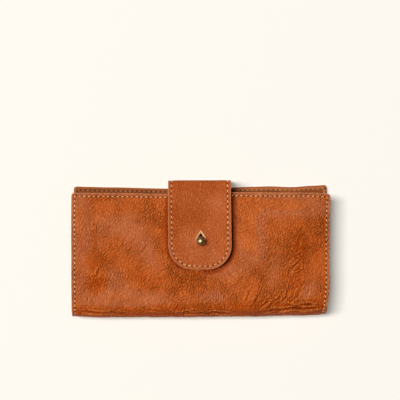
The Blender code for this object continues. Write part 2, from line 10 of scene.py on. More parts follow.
import bmesh
import bpy
import numpy as np
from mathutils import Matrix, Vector


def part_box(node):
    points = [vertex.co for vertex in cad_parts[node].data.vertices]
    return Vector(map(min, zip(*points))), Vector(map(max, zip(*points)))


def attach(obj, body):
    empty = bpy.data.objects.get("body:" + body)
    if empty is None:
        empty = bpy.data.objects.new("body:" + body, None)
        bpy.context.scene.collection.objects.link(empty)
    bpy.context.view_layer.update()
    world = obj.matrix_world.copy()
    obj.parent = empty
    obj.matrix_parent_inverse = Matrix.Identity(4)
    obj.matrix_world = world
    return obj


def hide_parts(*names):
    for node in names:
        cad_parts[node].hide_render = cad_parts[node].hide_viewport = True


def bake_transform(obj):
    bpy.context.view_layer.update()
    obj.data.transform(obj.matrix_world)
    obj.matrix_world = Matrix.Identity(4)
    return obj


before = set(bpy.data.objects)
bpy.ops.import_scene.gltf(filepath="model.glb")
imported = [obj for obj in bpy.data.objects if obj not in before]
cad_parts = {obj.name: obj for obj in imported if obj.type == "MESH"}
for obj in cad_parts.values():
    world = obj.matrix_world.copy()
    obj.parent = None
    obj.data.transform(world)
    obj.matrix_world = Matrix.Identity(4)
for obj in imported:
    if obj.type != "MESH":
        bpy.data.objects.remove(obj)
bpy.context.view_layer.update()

MM = 0.001

# ---------------------------------------------------------------- places, from the frame

FRONT_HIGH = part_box("front_cover")[1]
BACK_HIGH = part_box("back_cover")[1]
SPINE_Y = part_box("spine_leather")[0].y
TONGUE_LOW, TONGUE_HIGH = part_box("tab_tongue_outer")
BRIDGE_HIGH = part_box("tab_bridge_outer")[1]
ROOT_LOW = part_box("tab_root")[0]
STUD_LOW, STUD_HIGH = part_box("stud_ball")
FRONT_LINING_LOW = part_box("front_lining")[0]
BACK_LINING_LOW, BACK_LINING_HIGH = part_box("back_lining")

TOP_Z = FRONT_HIGH.z  # outer face of the front cover
HALF_WIDTH = FRONT_HIGH.x
LEATHER = 1.5 * MM
FOLD_R = 8 * MM
SEAM_INSET = 2.6 * MM
STITCH_PITCH = 3.5 * MM

FLAT_END_Y = SPINE_Y + FOLD_R  # where the covers' flat part ends and the fold begins

TAB_FOLD_R = 3 * MM
TAB_PLY = 1.12 * MM
TAB_HALF_WIDTH = TONGUE_HIGH.x
TAB_TOP_Z = TONGUE_HIGH.z
TAB_LOW_Z = ROOT_LOW.z
TAB_OUTER_Y = BRIDGE_HIGH.y
TAB_CORNER_R = 18 * MM
STUD_CENTRE = Vector(((STUD_LOW.x + STUD_HIGH.x) / 2, (STUD_LOW.y + STUD_HIGH.y) / 2, 0))
HOLE_R = 3.5 * MM
HOLE_TIP = 6.4 * MM
HOLE_OFFSET = 1.0 * MM


# ---------------------------------------------------------------- noise and small maths


def smooth(t):
    t = np.clip(t, 0, 1)
    return t * t * (3 - 2 * t)


def bell(distance, reach):
    """1 at a distance of 0, and about a third at the reach."""
    return np.exp(-((distance / reach) ** 2))


def soft_noise(x, y, cell, seed):
    """Smooth noise from -1 to 1 with features of about cell metres."""
    table = np.random.default_rng(seed).uniform(-1, 1, (128, 128))
    gx, gy = np.asarray(x) / cell, np.asarray(y) / cell
    ix, iy = np.floor(gx).astype(int), np.floor(gy).astype(int)
    fx, fy = gx - ix, gy - iy
    fx, fy = fx**3 * (fx * (6 * fx - 15) + 10), fy**3 * (fy * (6 * fy - 15) + 10)
    near, far = ix % 128, (ix + 1) % 128
    low, high = iy % 128, (iy + 1) % 128
    a = table[near, low] * (1 - fx) + table[far, low] * fx
    b = table[near, high] * (1 - fx) + table[far, high] * fx
    return a * (1 - fy) + b * fy


def streak_noise(x, y, degrees, length, width, seed):
    """Noise drawn out along a direction, for grain that runs one way."""
    a = math.radians(degrees)
    along = x * math.cos(a) + y * math.sin(a)
    across = -x * math.sin(a) + y * math.cos(a)
    return soft_noise(along * width / length, across, width, seed)


def polyline_distance(x, y, points):
    """Distance to a line through points, and how far along it the nearest place is, from 0 to 1."""
    best = np.full(np.shape(x), 1e9)
    where = np.zeros(np.shape(x))
    spans = [math.dist(a, b) for a, b in zip(points, points[1:])]
    total, walked = sum(spans), 0.0
    for (ax, ay), (bx, by), span in zip(points, points[1:], spans):
        t = np.clip(((x - ax) * (bx - ax) + (y - ay) * (by - ay)) / span**2, 0, 1)
        d = np.hypot(x - ax - t * (bx - ax), y - ay - t * (by - ay))
        nearer = d < best
        best = np.where(nearer, d, best)
        where = np.where(nearer, (walked + t * span) / total, where)
        walked += span
    return best, where


def sway(x, y, slow_seed, quick_seed):
    """A small shift to and fro, so that a wrinkle isn't straight."""
    return 0.9 * MM * soft_noise(x, y, 5 * MM, slow_seed) + 0.35 * MM * soft_noise(x, y, 2 * MM, quick_seed)


def wrinkle(x, y, points, depth, width):
    """A valley along points with a raised shoulder on each side, which fades out at its ends."""
    d, t = polyline_distance(x + sway(x, y, 41, 44), y + sway(x, y, 42, 45), points)
    fade = smooth(t / 0.25) * smooth((1 - t) / 0.25) * (1.0 + 0.8 * soft_noise(x, y, 7 * MM, 43))
    valley = -bell(d, width) + 0.55 * bell(d - 1.7 * width, width)
    return depth * fade * valley


# ---------------------------------------------------------------- sections


def walked_along(line):
    """The distance walked from a line's first point to each of its points."""
    return np.concatenate([[0], np.cumsum(np.hypot(*np.diff(line, axis=0).T))])


class Section:
    """The line in Y and Z that a hide's outer face follows, by the distance walked along it."""

    def __init__(self, points):
        line = np.array(points, float)
        steps = np.hypot(*np.diff(line, axis=0).T)
        self.line = line[np.concatenate([[True], steps > 1e-7])]
        self.walked = walked_along(self.line)
        direction = np.gradient(self.line, self.walked, axis=0)
        direction /= np.linalg.norm(direction, axis=1)[:, None]
        # X crossed with the direction walked is the way out.
        self.out = np.stack([-direction[:, 1], direction[:, 0]], axis=1)

    def place(self, u, v, w):
        """Points for u across, v along and w outwards."""
        v = np.asarray(v, float)
        y, z = (np.interp(v, self.walked, column) for column in self.line.T)
        out_y, out_z = (np.interp(v, self.walked, column) for column in self.out.T)
        length = np.hypot(out_y, out_z)
        out_y, out_z = out_y / length, out_z / length
        beyond = np.minimum(v, 0) + np.maximum(v - self.walked[-1], 0)
        return np.stack([u, y + w * out_y + beyond * out_z, z + w * out_z - beyond * out_y], axis=-1)


def arc_points(centre, radius, start, end, steps=48):
    angles = np.radians(np.linspace(start, end, steps + 1))
    return [(centre[0] + radius * math.cos(a), centre[1] + radius * math.sin(a)) for a in angles]


def line_points(a, b, steps=24):
    return [(a[0] + (b[0] - a[0]) * i / steps, a[1] + (b[1] - a[1]) * i / steps) for i in range(steps + 1)]


LOW_FOLD_CENTRE = (FLAT_END_Y, FOLD_R)
HIGH_FOLD_CENTRE = (FLAT_END_Y, TOP_Z - FOLD_R)
# Both halves are walked away from their free edges: the front turned over, so that out stays outwards.
BACK_SECTION = Section(
    line_points((BACK_HIGH.y, 0), (FLAT_END_Y, 0))
    + arc_points(LOW_FOLD_CENTRE, FOLD_R, -90, -180)
    + line_points((SPINE_Y, FOLD_R), (SPINE_Y, TOP_Z / 2))
)
FRONT_SECTION = Section(
    line_points((SPINE_Y, TOP_Z / 2), (SPINE_Y, TOP_Z - FOLD_R))
    + arc_points(HIGH_FOLD_CENTRE, FOLD_R, 180, 90)
    + line_points((FLAT_END_Y, TOP_Z), (FRONT_HIGH.y, TOP_Z))
)
TAB_TOP_CENTRE = (TAB_OUTER_Y - TAB_FOLD_R, TAB_TOP_Z - TAB_FOLD_R)
TAB_LOW_CENTRE = (TAB_OUTER_Y - TAB_FOLD_R, TAB_LOW_Z + TAB_FOLD_R)
BRIDGE_MIDDLE_Z = (TAB_TOP_CENTRE[1] + TAB_LOW_CENTRE[1]) / 2
TONGUE_SECTION = Section(
    line_points((TONGUE_LOW.y, TAB_TOP_Z), (TAB_TOP_CENTRE[0], TAB_TOP_Z))
    + arc_points(TAB_TOP_CENTRE, TAB_FOLD_R, 90, 0)
    + line_points((TAB_OUTER_Y, TAB_TOP_CENTRE[1]), (TAB_OUTER_Y, BRIDGE_MIDDLE_Z))
)
TAB_BASE_SECTION = Section(
    line_points((TAB_OUTER_Y, BRIDGE_MIDDLE_Z), (TAB_OUTER_Y, TAB_LOW_CENTRE[1]))
    + arc_points(TAB_LOW_CENTRE, TAB_FOLD_R, 0, -90)
    + line_points((TAB_LOW_CENTRE[0], TAB_LOW_Z), (ROOT_LOW.y, TAB_LOW_Z))
)


# ---------------------------------------------------------------- hides


def edge_lines(low, high, spacing, low_edge, high_edge):
    """Positions of grid lines between low and high, packed closer beside a free edge."""
    near = np.array([0, 0.1, 0.25, 0.5, 0.9, 1.5]) * MM
    start = low + near if low_edge else np.array([low])
    end = high - near[::-1] if high_edge else np.array([high])
    count = max(1, round((end[0] - start[-1]) / spacing))
    middle = np.linspace(start[-1], end[0], count + 1)[1:-1]
    return np.concatenate([start, middle, end])


def round_corners(u, v, left, right, low, high, radius_low, radius_high):
    """Moves the points of a rectangular grid so that its corners are round."""
    for v_edge, radius, sign in ((low, radius_low, 1), (high, radius_high, -1)):
        if not radius:
            continue
        for u_edge, side in ((left, 1), (right, -1)):
            a = (u_edge + side * radius - u) * side
            b = (v_edge + sign * radius - v) * sign
            inside = (a > 0) & (b > 0)
            far, straight = np.maximum(a, b), np.hypot(a, b)
            k = np.where(inside, far / np.maximum(straight, 1e-9), 1)
            u = np.where(inside, u_edge + side * (radius - a * k), u)
            v = np.where(inside, v_edge + sign * (radius - b * k), v)
    return u, v


def edge_distance(u, v, left, right, low, high, radius_low, radius_high):
    """Distance to a hide's nearest free edge. low or high is None where the hide runs on."""
    d = np.minimum(u - left, right - u)
    for v_edge, radius, sign in ((low, radius_low, 1), (high, radius_high, -1)):
        if v_edge is None:
            continue
        inwards = (v - v_edge) * sign
        d = np.minimum(d, inwards)
        a, b = radius - np.minimum(u - left, right - u), radius - inwards
        corner = (a > 0) & (b > 0)
        d = np.where(corner, radius - np.hypot(a, b), d)
    return d


def nothing(u, v, *rest):
    return np.zeros(np.shape(u))


class Hide:
    """A piece of leather or cloth: its flat outline, its section, and the height of its face.

    It runs from 0 to high along v, and left and right give its sides at a v. height, tone (how creased a
    place is, with painted shade, and its polish, oil, painted sheen and painted shade), sag (outwards), slide
    (along v) and pull (of wrapped points) are functions.
    """

    def __init__(self, section, high, left, right, thickness, **options):
        self.section, self.high, self.left, self.right, self.thickness = section, high, left, right, thickness
        self.low_edge = options.get("low_edge", True)
        self.high_edge = options.get("high_edge", True)
        self.corners = options.get("corner_low", 0), options.get("corner_high", 0)
        self.round = options.get("round", 0.5 * MM)
        self.height = options.get("height", nothing)
        self.tone = options.get("tone", lambda u, v, d: (nothing(u, v), nothing(u, v)))
        self.sag = options.get("sag", nothing)
        self.slide = options.get("slide", nothing)
        self.pull = options.get("pull", lambda places: places)

    def distance(self, u, v):
        ends = 0.0 if self.low_edge else None, self.high if self.high_edge else None
        return edge_distance(u, v, self.left(v), self.right(v), *ends, *self.corners)

    def face_height(self, u, v):
        """Height of the outer face over the section, with its rounded edge."""
        d = np.maximum(self.distance(u, v), 0)
        r = self.round
        drop = np.where(d < r, r - np.sqrt(np.maximum(r * r - (r - d) ** 2, 0)), 0)
        return self.height(u, v, d) - drop

    def wrap(self, u, v, w):
        return self.pull(self.section.place(u, v + self.slide(u, v), w + self.sag(u, v)))

    def on_face(self, u, v, lift=0.0):
        return self.wrap(u, v, self.face_height(u, v) + lift)

    def flat_grid(self, spacing):
        v_lines = edge_lines(0.0, self.high, spacing, self.low_edge, self.high_edge)
        widest = max(float(self.right(v) - self.left(v)) for v in v_lines)
        u_lines = edge_lines(0, widest, spacing, True, True)
        v = np.repeat(v_lines[:, None], len(u_lines), axis=1)
        share = (u_lines - widest / 2) / (widest / 2)
        left, right = self.left(v), self.right(v)
        u = (left + right) / 2 + share[None, :] * (right - left) / 2
        return round_corners(u, v, left, right, 0.0, self.high, *self.corners)


def add_object(name, data):
    made = bpy.data.objects.new(name, data)
    bpy.context.scene.collection.objects.link(made)
    return made


def add_mesh(name, points, faces):
    mesh = bpy.data.meshes.new(name)
    mesh.from_pydata(points, [], faces)
    return add_object(name, mesh)


def grid_faces(index, flip=False):
    """Four-sided faces between the rows of a grid of vertex numbers."""
    corners = [index[:-1, :-1], index[:-1, 1:], index[1:, 1:], index[1:, :-1]]
    if flip:
        corners[1], corners[3] = corners[3], corners[1]
    return np.stack(corners, axis=-1).reshape(-1, 4).tolist()


def hide_mesh(name, hide, spacing, inner_step=4, hole=None):
    """Builds a hide: a fine outer face, a coarser inner face and a closed rim. hole is an outline to cut."""
    u, v = hide.flat_grid(spacing)
    rows, columns = u.shape
    index = np.arange(u.size).reshape(rows, columns)
    keep_i = sorted(set(range(0, rows, inner_step)) | {rows - 1})
    keep_j = sorted(set(range(0, columns, inner_step)) | {columns - 1})
    inner = u.size + np.arange(len(keep_i) * len(keep_j)).reshape(len(keep_i), len(keep_j))
    kept = np.ix_(keep_i, keep_j)
    outer_points = np.stack([u.ravel(), v.ravel(), np.zeros(u.size)], axis=1)
    inner_points = np.stack([u[kept].ravel(), v[kept].ravel(), np.full(inner.size, -1.0)], axis=1)
    sides = (
        (index[0], inner[0], keep_j, 1),
        (index[-1], inner[-1], keep_j, -1),
        (index[:, 0], inner[:, 0], keep_i, -1),
        (index[:, -1], inner[:, -1], keep_i, 1),
    )
    rim = []
    for outer, below, places, way in sides:
        for k, (a, b) in enumerate(zip(places, places[1:])):
            ring = outer[a : b + 1].tolist() + [int(below[k + 1]), int(below[k])]
            rim.append(ring[::way])
    points = np.concatenate([outer_points, inner_points]).tolist()
    made = add_mesh(name, points, grid_faces(index) + grid_faces(inner, flip=True) + rim)
    if hole is not None:
        cut_flat_hole(made, hole)
    wrap_mesh(made, hide)
    return made


def cut_flat_hole(made, outline):
    """Cuts a prism through a flat hide, whose faces lie at 0 and -1."""
    mesh = bpy.data.meshes.new("hole")
    bm = bmesh.new()
    face = bm.faces.new([bm.verts.new((x, y, -2)) for x, y in outline])
    risen = bmesh.ops.extrude_face_region(bm, geom=[face])["geom"]
    bmesh.ops.translate(bm, verts=[g for g in risen if isinstance(g, bmesh.types.BMVert)], vec=(0, 0, 4))
    bmesh.ops.recalc_face_normals(bm, faces=bm.faces)
    bm.to_mesh(mesh)
    bm.free()
    cutter = add_object("hole", mesh)
    boolean = made.modifiers.new("hole", "BOOLEAN")
    boolean.operation = "DIFFERENCE"
    boolean.solver = "EXACT"
    boolean.object = cutter
    bpy.context.view_layer.update()
    cut = bpy.data.meshes.new_from_object(made.evaluated_get(bpy.context.evaluated_depsgraph_get()))
    made.modifiers.clear()
    made.data = cut
    bpy.data.objects.remove(cutter)


UV_UNIT = 100 * MM


def wrap_mesh(made, hide):
    """Takes a flat hide to its place, and stores its flat coordinates and its wear, painted light and shade
    and depth.
    """
    mesh = made.data
    flat = np.zeros(len(mesh.vertices) * 3)
    mesh.vertices.foreach_get("co", flat)
    flat = flat.reshape(-1, 3)
    u, v, level = flat[:, 0], flat[:, 1], np.clip(-flat[:, 2], 0, 1)
    w = hide.face_height(u, v) * (1 - level) - hide.thickness * level
    mesh.vertices.foreach_set("co", hide.wrap(u, v, w).astype(np.float32).ravel())
    distance = np.maximum(hide.distance(u, v), 0)
    crease, wear_and_light = hide.tone(u, v, distance)
    for name, values in (("edge", distance / MM), ("crease", crease), ("wear_and_light", wear_and_light), ("level", level)):
        stored = mesh.attributes.new(name, "FLOAT", "POINT")
        stored.data.foreach_set("value", np.asarray(values, np.float32))
    loops = np.zeros(len(mesh.loops), int)
    mesh.loops.foreach_get("vertex_index", loops)
    layer = mesh.uv_layers.new(name="flat")
    layer.data.foreach_set("uv", (flat[loops, :2] / UV_UNIT).astype(np.float32).ravel())
    mesh.update()
    mesh.shade_smooth()
    mesh.set_sharp_from_angle(angle=math.radians(50))


# ---------------------------------------------------------------- materials


def new_material(name):
    made = bpy.data.materials.new(name)
    made.use_nodes = True
    return made, made.node_tree, made.node_tree.nodes["Principled BSDF"]


def plug(tree, shader_node, inputs):
    """Links each input to a socket, or sets it to a number, a vector or a colour."""
    for key, value in inputs.items():
        socket = shader_node.inputs[key]
        if isinstance(value, bpy.types.NodeSocket):
            tree.links.new(value, socket)
        elif socket.type == "RGBA":
            socket.default_value = (*value, 1.0)
        else:
            socket.default_value = value


def node(tree, kind, inputs, **settings):
    made = tree.nodes.new(kind)
    for key, value in settings.items():
        setattr(made, key, value)
    plug(tree, made, inputs)
    return made


def times(tree, a, b):
    return node(tree, "ShaderNodeMath", {0: a, 1: b}, operation="MULTIPLY").outputs[0]


def plus(tree, *terms):
    """The sum of numbers, sockets and pairs of a socket and its weight."""
    total, *others = [times(tree, *term) if isinstance(term, tuple) else term for term in terms]
    for term in others:
        total = node(tree, "ShaderNodeMath", {0: total, 1: term}, operation="ADD").outputs[0]
    return total


def mix(tree, factor, a, b):
    return node(tree, "ShaderNodeMix", {0: factor, 6: a, 7: b}, data_type="RGBA").outputs[2]


def layered(tree, colour, layers):
    """A colour under layers, each of a factor, the most it covers and its colour."""
    for factor, most, tone in layers:
        colour = mix(tree, times(tree, factor, most), colour, tone)
    return colour


def bumped(tree, height, strength, reach_mm):
    inputs = {"Height": height, "Strength": strength, "Distance": reach_mm * MM}
    return node(tree, "ShaderNodeBump", inputs).outputs[0]


def ramp(tree, value, low, high):
    """0 below low, 1 above high, smooth between them. With low above high it falls."""
    inputs = {0: value, 1: low, 2: high}
    return node(tree, "ShaderNodeMapRange", inputs, interpolation_type="SMOOTHSTEP").outputs[0]


def flat_place(tree):
    """The hide's own flat coordinates, in UV_UNIT."""
    return node(tree, "ShaderNodeUVMap", {}, uv_map="flat").outputs[0]


def drawn_out(tree, place, degrees, length):
    """Coordinates in which a pattern is drawn out along a direction."""
    inputs = {"Vector": place, "Rotation": (0, 0, math.radians(degrees)), "Scale": (length, 1, 1)}
    return node(tree, "ShaderNodeMapping", inputs, vector_type="TEXTURE").outputs[0]


def wander(tree, place, size_mm, reach_mm):
    """Coordinates that sway, so that a pattern in them bends to and fro."""
    inputs = {"Vector": place, "Scale": 100 / size_mm, "Detail": 1.0}
    value = node(tree, "ShaderNodeTexNoise", inputs).outputs["Color"]
    steps = (
        ("SUBTRACT", {1: (0.5, 0.5, 0.5)}),
        ("SCALE", {"Scale": reach_mm / 50}),
        ("ADD", {1: place}),
    )
    for operation, other in steps:
        value = node(tree, "ShaderNodeVectorMath", {0: value, **other}, operation=operation).outputs[0]
    return value


def noise(tree, place, size_mm, detail=2.0, roughness=0.5, offset=0.0):
    """Noise with features of about size_mm, from 0 to 1."""
    inputs = {"Vector": place, "Scale": 100 / size_mm, "Detail": detail, "Roughness": roughness, "W": offset}
    return node(tree, "ShaderNodeTexNoise", inputs, noise_dimensions="4D").outputs[0]


def attribute(tree, name):
    return node(tree, "ShaderNodeAttribute", {}, attribute_name=name).outputs["Fac"]


def cells(tree, place, size_mm, feature):
    """Voronoi cells of about size_mm: the distance to their middles or to their edges."""
    inputs = {"Vector": place, "Scale": 100 / size_mm}
    made = node(tree, "ShaderNodeTexVoronoi", inputs, feature=feature, voronoi_dimensions="2D")
    return made.outputs["Distance"]


# Tones of the leather. Some are painted light: sheen in the lighter polish tones, shade in the darker ones, a
# highlight on ridges and edges, and near-black shade under the tab.
COGNAC = {
    "main": (0.530, 0.105, 0.0145),
    "polish_and_sheen": (0.495, 0.128, 0.041),
    "bright": (0.605, 0.131, 0.022),
    "oiled_and_shaded": (0.44, 0.062, 0.002),
    "valley": (0.27, 0.033, 0.001),
    "crest_highlight": (0.68, 0.180, 0.032),
    "margin": (0.47, 0.140, 0.052),
    "rim": (0.66, 0.245, 0.105),
    "cut": (0.52, 0.26, 0.13),
    "flesh": (0.30, 0.085, 0.022),
    "shade_under_tab": (0.035, 0.011, 0.004),
}
TAB_TAN = {
    **COGNAC,
    "main": (0.438, 0.090, 0.017),
    "polish_and_sheen": (0.47, 0.120, 0.040),
    "bright": (0.54, 0.145, 0.045),
    "oiled_and_shaded": (0.36, 0.058, 0.004),
    "valley": (0.25, 0.036, 0.003),
    "margin": (0.41, 0.100, 0.027),
    "rim": (0.56, 0.20, 0.085),
}


def leather(name, tones, grain=1.0, depth_mm=1.0, roughness=0.42):
    """Full-grain leather: slanting pebbled grain, patches of colour and painted sheen and shade, darker
    valleys, painted highlights on ridges and paler cut edges.
    """
    made, tree, shader = new_material(name)
    place = flat_place(tree)
    bent = wander(tree, wander(tree, place, 28, 7), 5, 1.2)
    slanted = drawn_out(tree, bent, 62, 2.1)

    creases = ramp(tree, cells(tree, slanted, 1.75, "DISTANCE_TO_EDGE"), 0.0, 0.30)
    pebbles = ramp(tree, cells(tree, bent, 1.6, "F1"), 0.75, 0.0)
    lumps = noise(tree, slanted, 1.6)
    fine = noise(tree, place, 0.55, 2.0, 0.6, 7.0)
    height = plus(tree, (creases, 0.50), (pebbles, 0.38), (lumps, 0.66), (fine, 0.20))

    wear_and_light = plus(tree, attribute(tree, "wear_and_light"), noise(tree, bent, 8, 4.0, 0.6, 11.0), -0.5)
    polish_and_sheen = ramp(tree, wear_and_light, -0.20, 0.75)
    crease, edge, level = (attribute(tree, stored) for stored in ("crease", "edge", "level"))
    inner = ramp(tree, level, 0.5, 0.95)
    coarse = ramp(tree, noise(tree, place, 17, 2.0, 0.5, 5.0), 0.32, 0.62)
    strength = times(tree, plus(tree, (coarse, 0.45), 0.6), grain)
    for smoother, loss in ((polish_and_sheen, 0.30), (inner, 0.65)):
        strength = times(tree, strength, plus(tree, (smoother, -loss), 1.0))
    valley = times(tree, ramp(tree, height, 0.86, 0.42), strength)
    mottle = ramp(tree, noise(tree, place, 6, 3.0, 0.6, 13.0), 0.33, 0.70)
    side = times(tree, ramp(tree, edge, 0.16, 0.0), ramp(tree, level, -0.2, 0.1))

    layers = (
        # The most polished patches: colour and painted sheen.
        (ramp(tree, wear_and_light, 0.70, 1.80), 0.90, "bright"),
        # Oil, and painted shade on the spine's fold and beside the tab.
        (ramp(tree, wear_and_light, 0.0, -1.1), 0.75, "oiled_and_shaded"),
        # Painted shade on the spine's fold.
        (ramp(tree, wear_and_light, -1.2, -2.6), 0.60, "valley"),
        (mottle, 0.20, "valley"),
        (valley, 0.56, "valley"),
        # Painted highlight on the ridges of wrinkles.
        (ramp(tree, crease, -0.03, -0.45), 0.70, "crest_highlight"),
        # Painted highlight on the grain's ridges.
        (ramp(tree, height, 0.98, 1.42), 0.42, "crest_highlight"),
        # Darker in wrinkle valleys, on the seam lines and beside the tab: the wrinkles and the tab's edges
        # are painted shade.
        (ramp(tree, crease, 0.05, 0.9), 0.85, "valley"),
        # Near-black painted shade under the tab, round the stud, seen through the buttonhole.
        (ramp(tree, crease, 1.4, 1.9), 0.92, "shade_under_tab"),
        (ramp(tree, edge, 2.7, 1.6), 0.62, "margin"),
        # Burnished edges, with a painted highlight where the edge catches the light.
        (ramp(tree, edge, 0.85, 0.15), 0.75, "rim"),
        (side, 0.85, "cut"),
        (inner, 0.90, "flesh"),
    )
    # The polish tone is lighter and pinker: partly polish, partly painted sheen.
    colour = mix(tree, polish_and_sheen, tones["main"], tones["polish_and_sheen"])
    looks = {
        "Base Color": layered(tree, colour, [(factor, most, tones[tone]) for factor, most, tone in layers]),
        "Roughness": plus(tree, (polish_and_sheen, -0.10), 0.05 + roughness, (valley, 0.16), (inner, 0.30)),
        "Specular IOR Level": 0.16,
        "Specular Tint": (1.0, 0.74, 0.52),
        "Normal": bumped(tree, height, strength, depth_mm),
    }
    plug(tree, shader, looks)
    return made


# Near-black painted shadow of the tab on the back lining beside it.
TAB_SHADOW_PAINT = (0.035, 0.009, 0.002)


def plain_leather(name, main, deep, worn):
    """Thin smooth lining and pocket leather, paler where it is worn, with painted light and shade on the back
    lining.
    """
    made, tree, shader = new_material(name)
    place = flat_place(tree)
    grain = noise(tree, place, 0.9, 4.0, 0.6)
    areas = ramp(tree, noise(tree, place, 22, 3.0, 0.5, 5.0), 0.3, 0.7)
    wear_and_light = attribute(tree, "wear_and_light")
    layers = (
        (ramp(tree, grain, 0.55, 0.35), 0.45, deep),
        # Lighter: wear, and painted light on the back lining.
        (ramp(tree, wear_and_light, 0.0, 1.0), 0.70, worn),
        # Darker: painted shade on the back lining.
        (ramp(tree, wear_and_light, 0.0, -1.0), 0.70, deep),
        # The tab's painted shadow.
        (ramp(tree, attribute(tree, "crease"), 0.0, 1.0), 0.80, TAB_SHADOW_PAINT),
        # Paler edges: wear, with a painted highlight on the back lining's edge.
        (ramp(tree, attribute(tree, "edge"), 0.9, 0.2), 0.50, worn),
    )
    looks = {
        "Base Color": layered(tree, mix(tree, areas, main, deep), layers),
        "Roughness": plus(tree, 0.55, (grain, 0.12)),
        "Specular IOR Level": 0.15,
        "Specular Tint": (1.0, 0.72, 0.50),
        "Normal": bumped(tree, grain, 0.5, 0.10),
    }
    plug(tree, shader, looks)
    return made


def object_place(tree):
    return node(tree, "ShaderNodeTexCoord", {}).outputs["Object"]


def speckle(tree, scale, detail=2.0, roughness=0.5):
    """Noise in the object's own coordinates."""
    inputs = {"Vector": object_place(tree), "Scale": scale, "Detail": detail, "Roughness": roughness}
    return node(tree, "ShaderNodeTexNoise", inputs).outputs[0]


def bands(tree, direction, **inputs):
    """Even waves in the object's own coordinates."""
    inputs = {"Vector": object_place(tree), **inputs}
    return node(tree, "ShaderNodeTexWave", inputs, bands_direction=direction).outputs[1]


def thread_material(name, dull, bright, groove):
    """Waxed twisted thread: fine slanting plies."""
    made, tree, shader = new_material(name)
    plies = bands(tree, "DIAGONAL", Scale=900.0, Distortion=0.6, Detail=1.0)
    colour = mix(tree, ramp(tree, speckle(tree, 160.0), 0.35, 0.65), dull, bright)
    looks = {
        "Base Color": layered(tree, colour, [(plies, 0.35, groove)]),
        "Roughness": 0.7,
        "Specular IOR Level": 0.2,
        "Normal": bumped(tree, plies, 0.5, 0.06),
    }
    plug(tree, shader, looks)
    return made


def brass_material(name, bright, dark, roughness=0.30):
    """Antiqued brass: bright where it is rubbed, brown in its patches."""
    made, tree, shader = new_material(name)
    patina = speckle(tree, 420.0, 3.0, 0.55)
    worn = ramp(tree, patina, 0.38, 0.68)
    looks = {
        "Base Color": mix(tree, worn, dark, bright),
        "Roughness": plus(tree, roughness + 0.22, (worn, -0.20)),
        "Metallic": 1.0,
        "Normal": bumped(tree, patina, 0.25, 0.05),
    }
    plug(tree, shader, looks)
    return made


def weave_material(name, main, deep, pitch_mm=0.55):
    """Woven tape: two crossed sets of bands."""
    made, tree, shader = new_material(name)
    cloth = times(tree, *(bands(tree, direction, Scale=50 / pitch_mm) for direction in ("X", "Y")))
    looks = {
        "Base Color": mix(tree, cloth, deep, main),
        "Roughness": 0.85,
        "Normal": bumped(tree, cloth, 0.6, 0.08),
    }
    plug(tree, shader, looks)
    return made


def speckled_material(name, scale, detail, dark, light, bump=None, **looks):
    """A material whose colour varies finely between two tones. bump is its strength and its reach in mm."""
    made, tree, shader = new_material(name)
    grain = speckle(tree, scale, detail)
    looks = {key.replace("_", " "): value for key, value in looks.items()}
    if bump:
        looks["Normal"] = bumped(tree, grain, *bump)
    plug(tree, shader, {"Base Color": mix(tree, grain, dark, light), **looks})
    return made


BODY_LEATHER = leather("cognac_leather", COGNAC, depth_mm=1.40)
TAB_LEATHER = leather("tab_leather", TAB_TAN, 0.52, 1.1, 0.40)
LINING_LEATHER = plain_leather(
    "lining_leather", main=(0.27, 0.066, 0.013), deep=(0.17, 0.036, 0.006), worn=(0.46, 0.145, 0.045)
)
POCKET_LEATHER = plain_leather(
    "pocket_leather", main=(0.45, 0.115, 0.022), deep=(0.33, 0.070, 0.011), worn=(0.55, 0.18, 0.055)
)
THREAD = thread_material("waxed_thread", (0.68, 0.355, 0.155), (0.90, 0.53, 0.26), (0.45, 0.24, 0.12))
# A darker copy of the thread for the inner seams: brown bobbin thread, partly painted shade on the lining
# strip.
SHADED_INNER_THREAD = thread_material(
    "brown_and_shaded_thread", (0.36, 0.165, 0.065), (0.52, 0.27, 0.12), (0.22, 0.10, 0.04)
)
BRASS = brass_material("antique_brass", (0.70, 0.485, 0.225), (0.20, 0.115, 0.04), 0.38)
ZIP_BRASS = brass_material("zip_brass", (0.78, 0.60, 0.34), (0.36, 0.24, 0.11))
TAPE = weave_material("zip_tape_fabric", (0.16, 0.075, 0.035), (0.05, 0.022, 0.010))
# Near-black: painted shade in the needle holes.
NEEDLE_HOLE_SHADE = speckled_material(
    "needle_hole", 2000.0, 2.0, (0.030, 0.008, 0.002), (0.07, 0.018, 0.006),
    Roughness=0.9, Specular_IOR_Level=0.1,
)
STEEL = speckled_material(
    "screw_steel", 1500.0, 3.0, (0.40, 0.40, 0.40), (0.62, 0.62, 0.60), Roughness=0.4, Metallic=1.0
)
CUT_EDGE = speckled_material(
    "cut_edge", 1400.0, 4.0, (0.66, 0.32, 0.12), (0.88, 0.52, 0.25), bump=(0.4, 0.05), Roughness=0.75
)


def dress(made, material, slot):
    made.data.materials.clear()
    made.data.materials.append(material)
    return made


# ---------------------------------------------------------------- camera, light and floor


KEY_FROM, KEY_TO = (-0.80, 0.01), (-0.12, 0.29)  # the light's edges in X and Y, as shares of its height
KEY_HEIGHT = 12.0
KEY_LIGHT = 1.615
WORLD_COLOUR = (1.0, 0.985, 0.96)
WORLD_STRENGTH = 0.055
FLOOR_COLOUR = (0.705, 0.666, 0.612)
FLOOR_GLOW_COLOUR = (0.96, 0.985, 0.915)
FLOOR_GLOW = 0.22
FLOOR_REACH = 4.0
FLOOR_Z = -0.3 * MM
CAMERA_PLACE = (-0.4 * MM, 36.4 * MM, 850 * MM)
VIEW_WIDTH = 294.6 * MM  # seen at the height of the front cover
SENSOR = 36.0


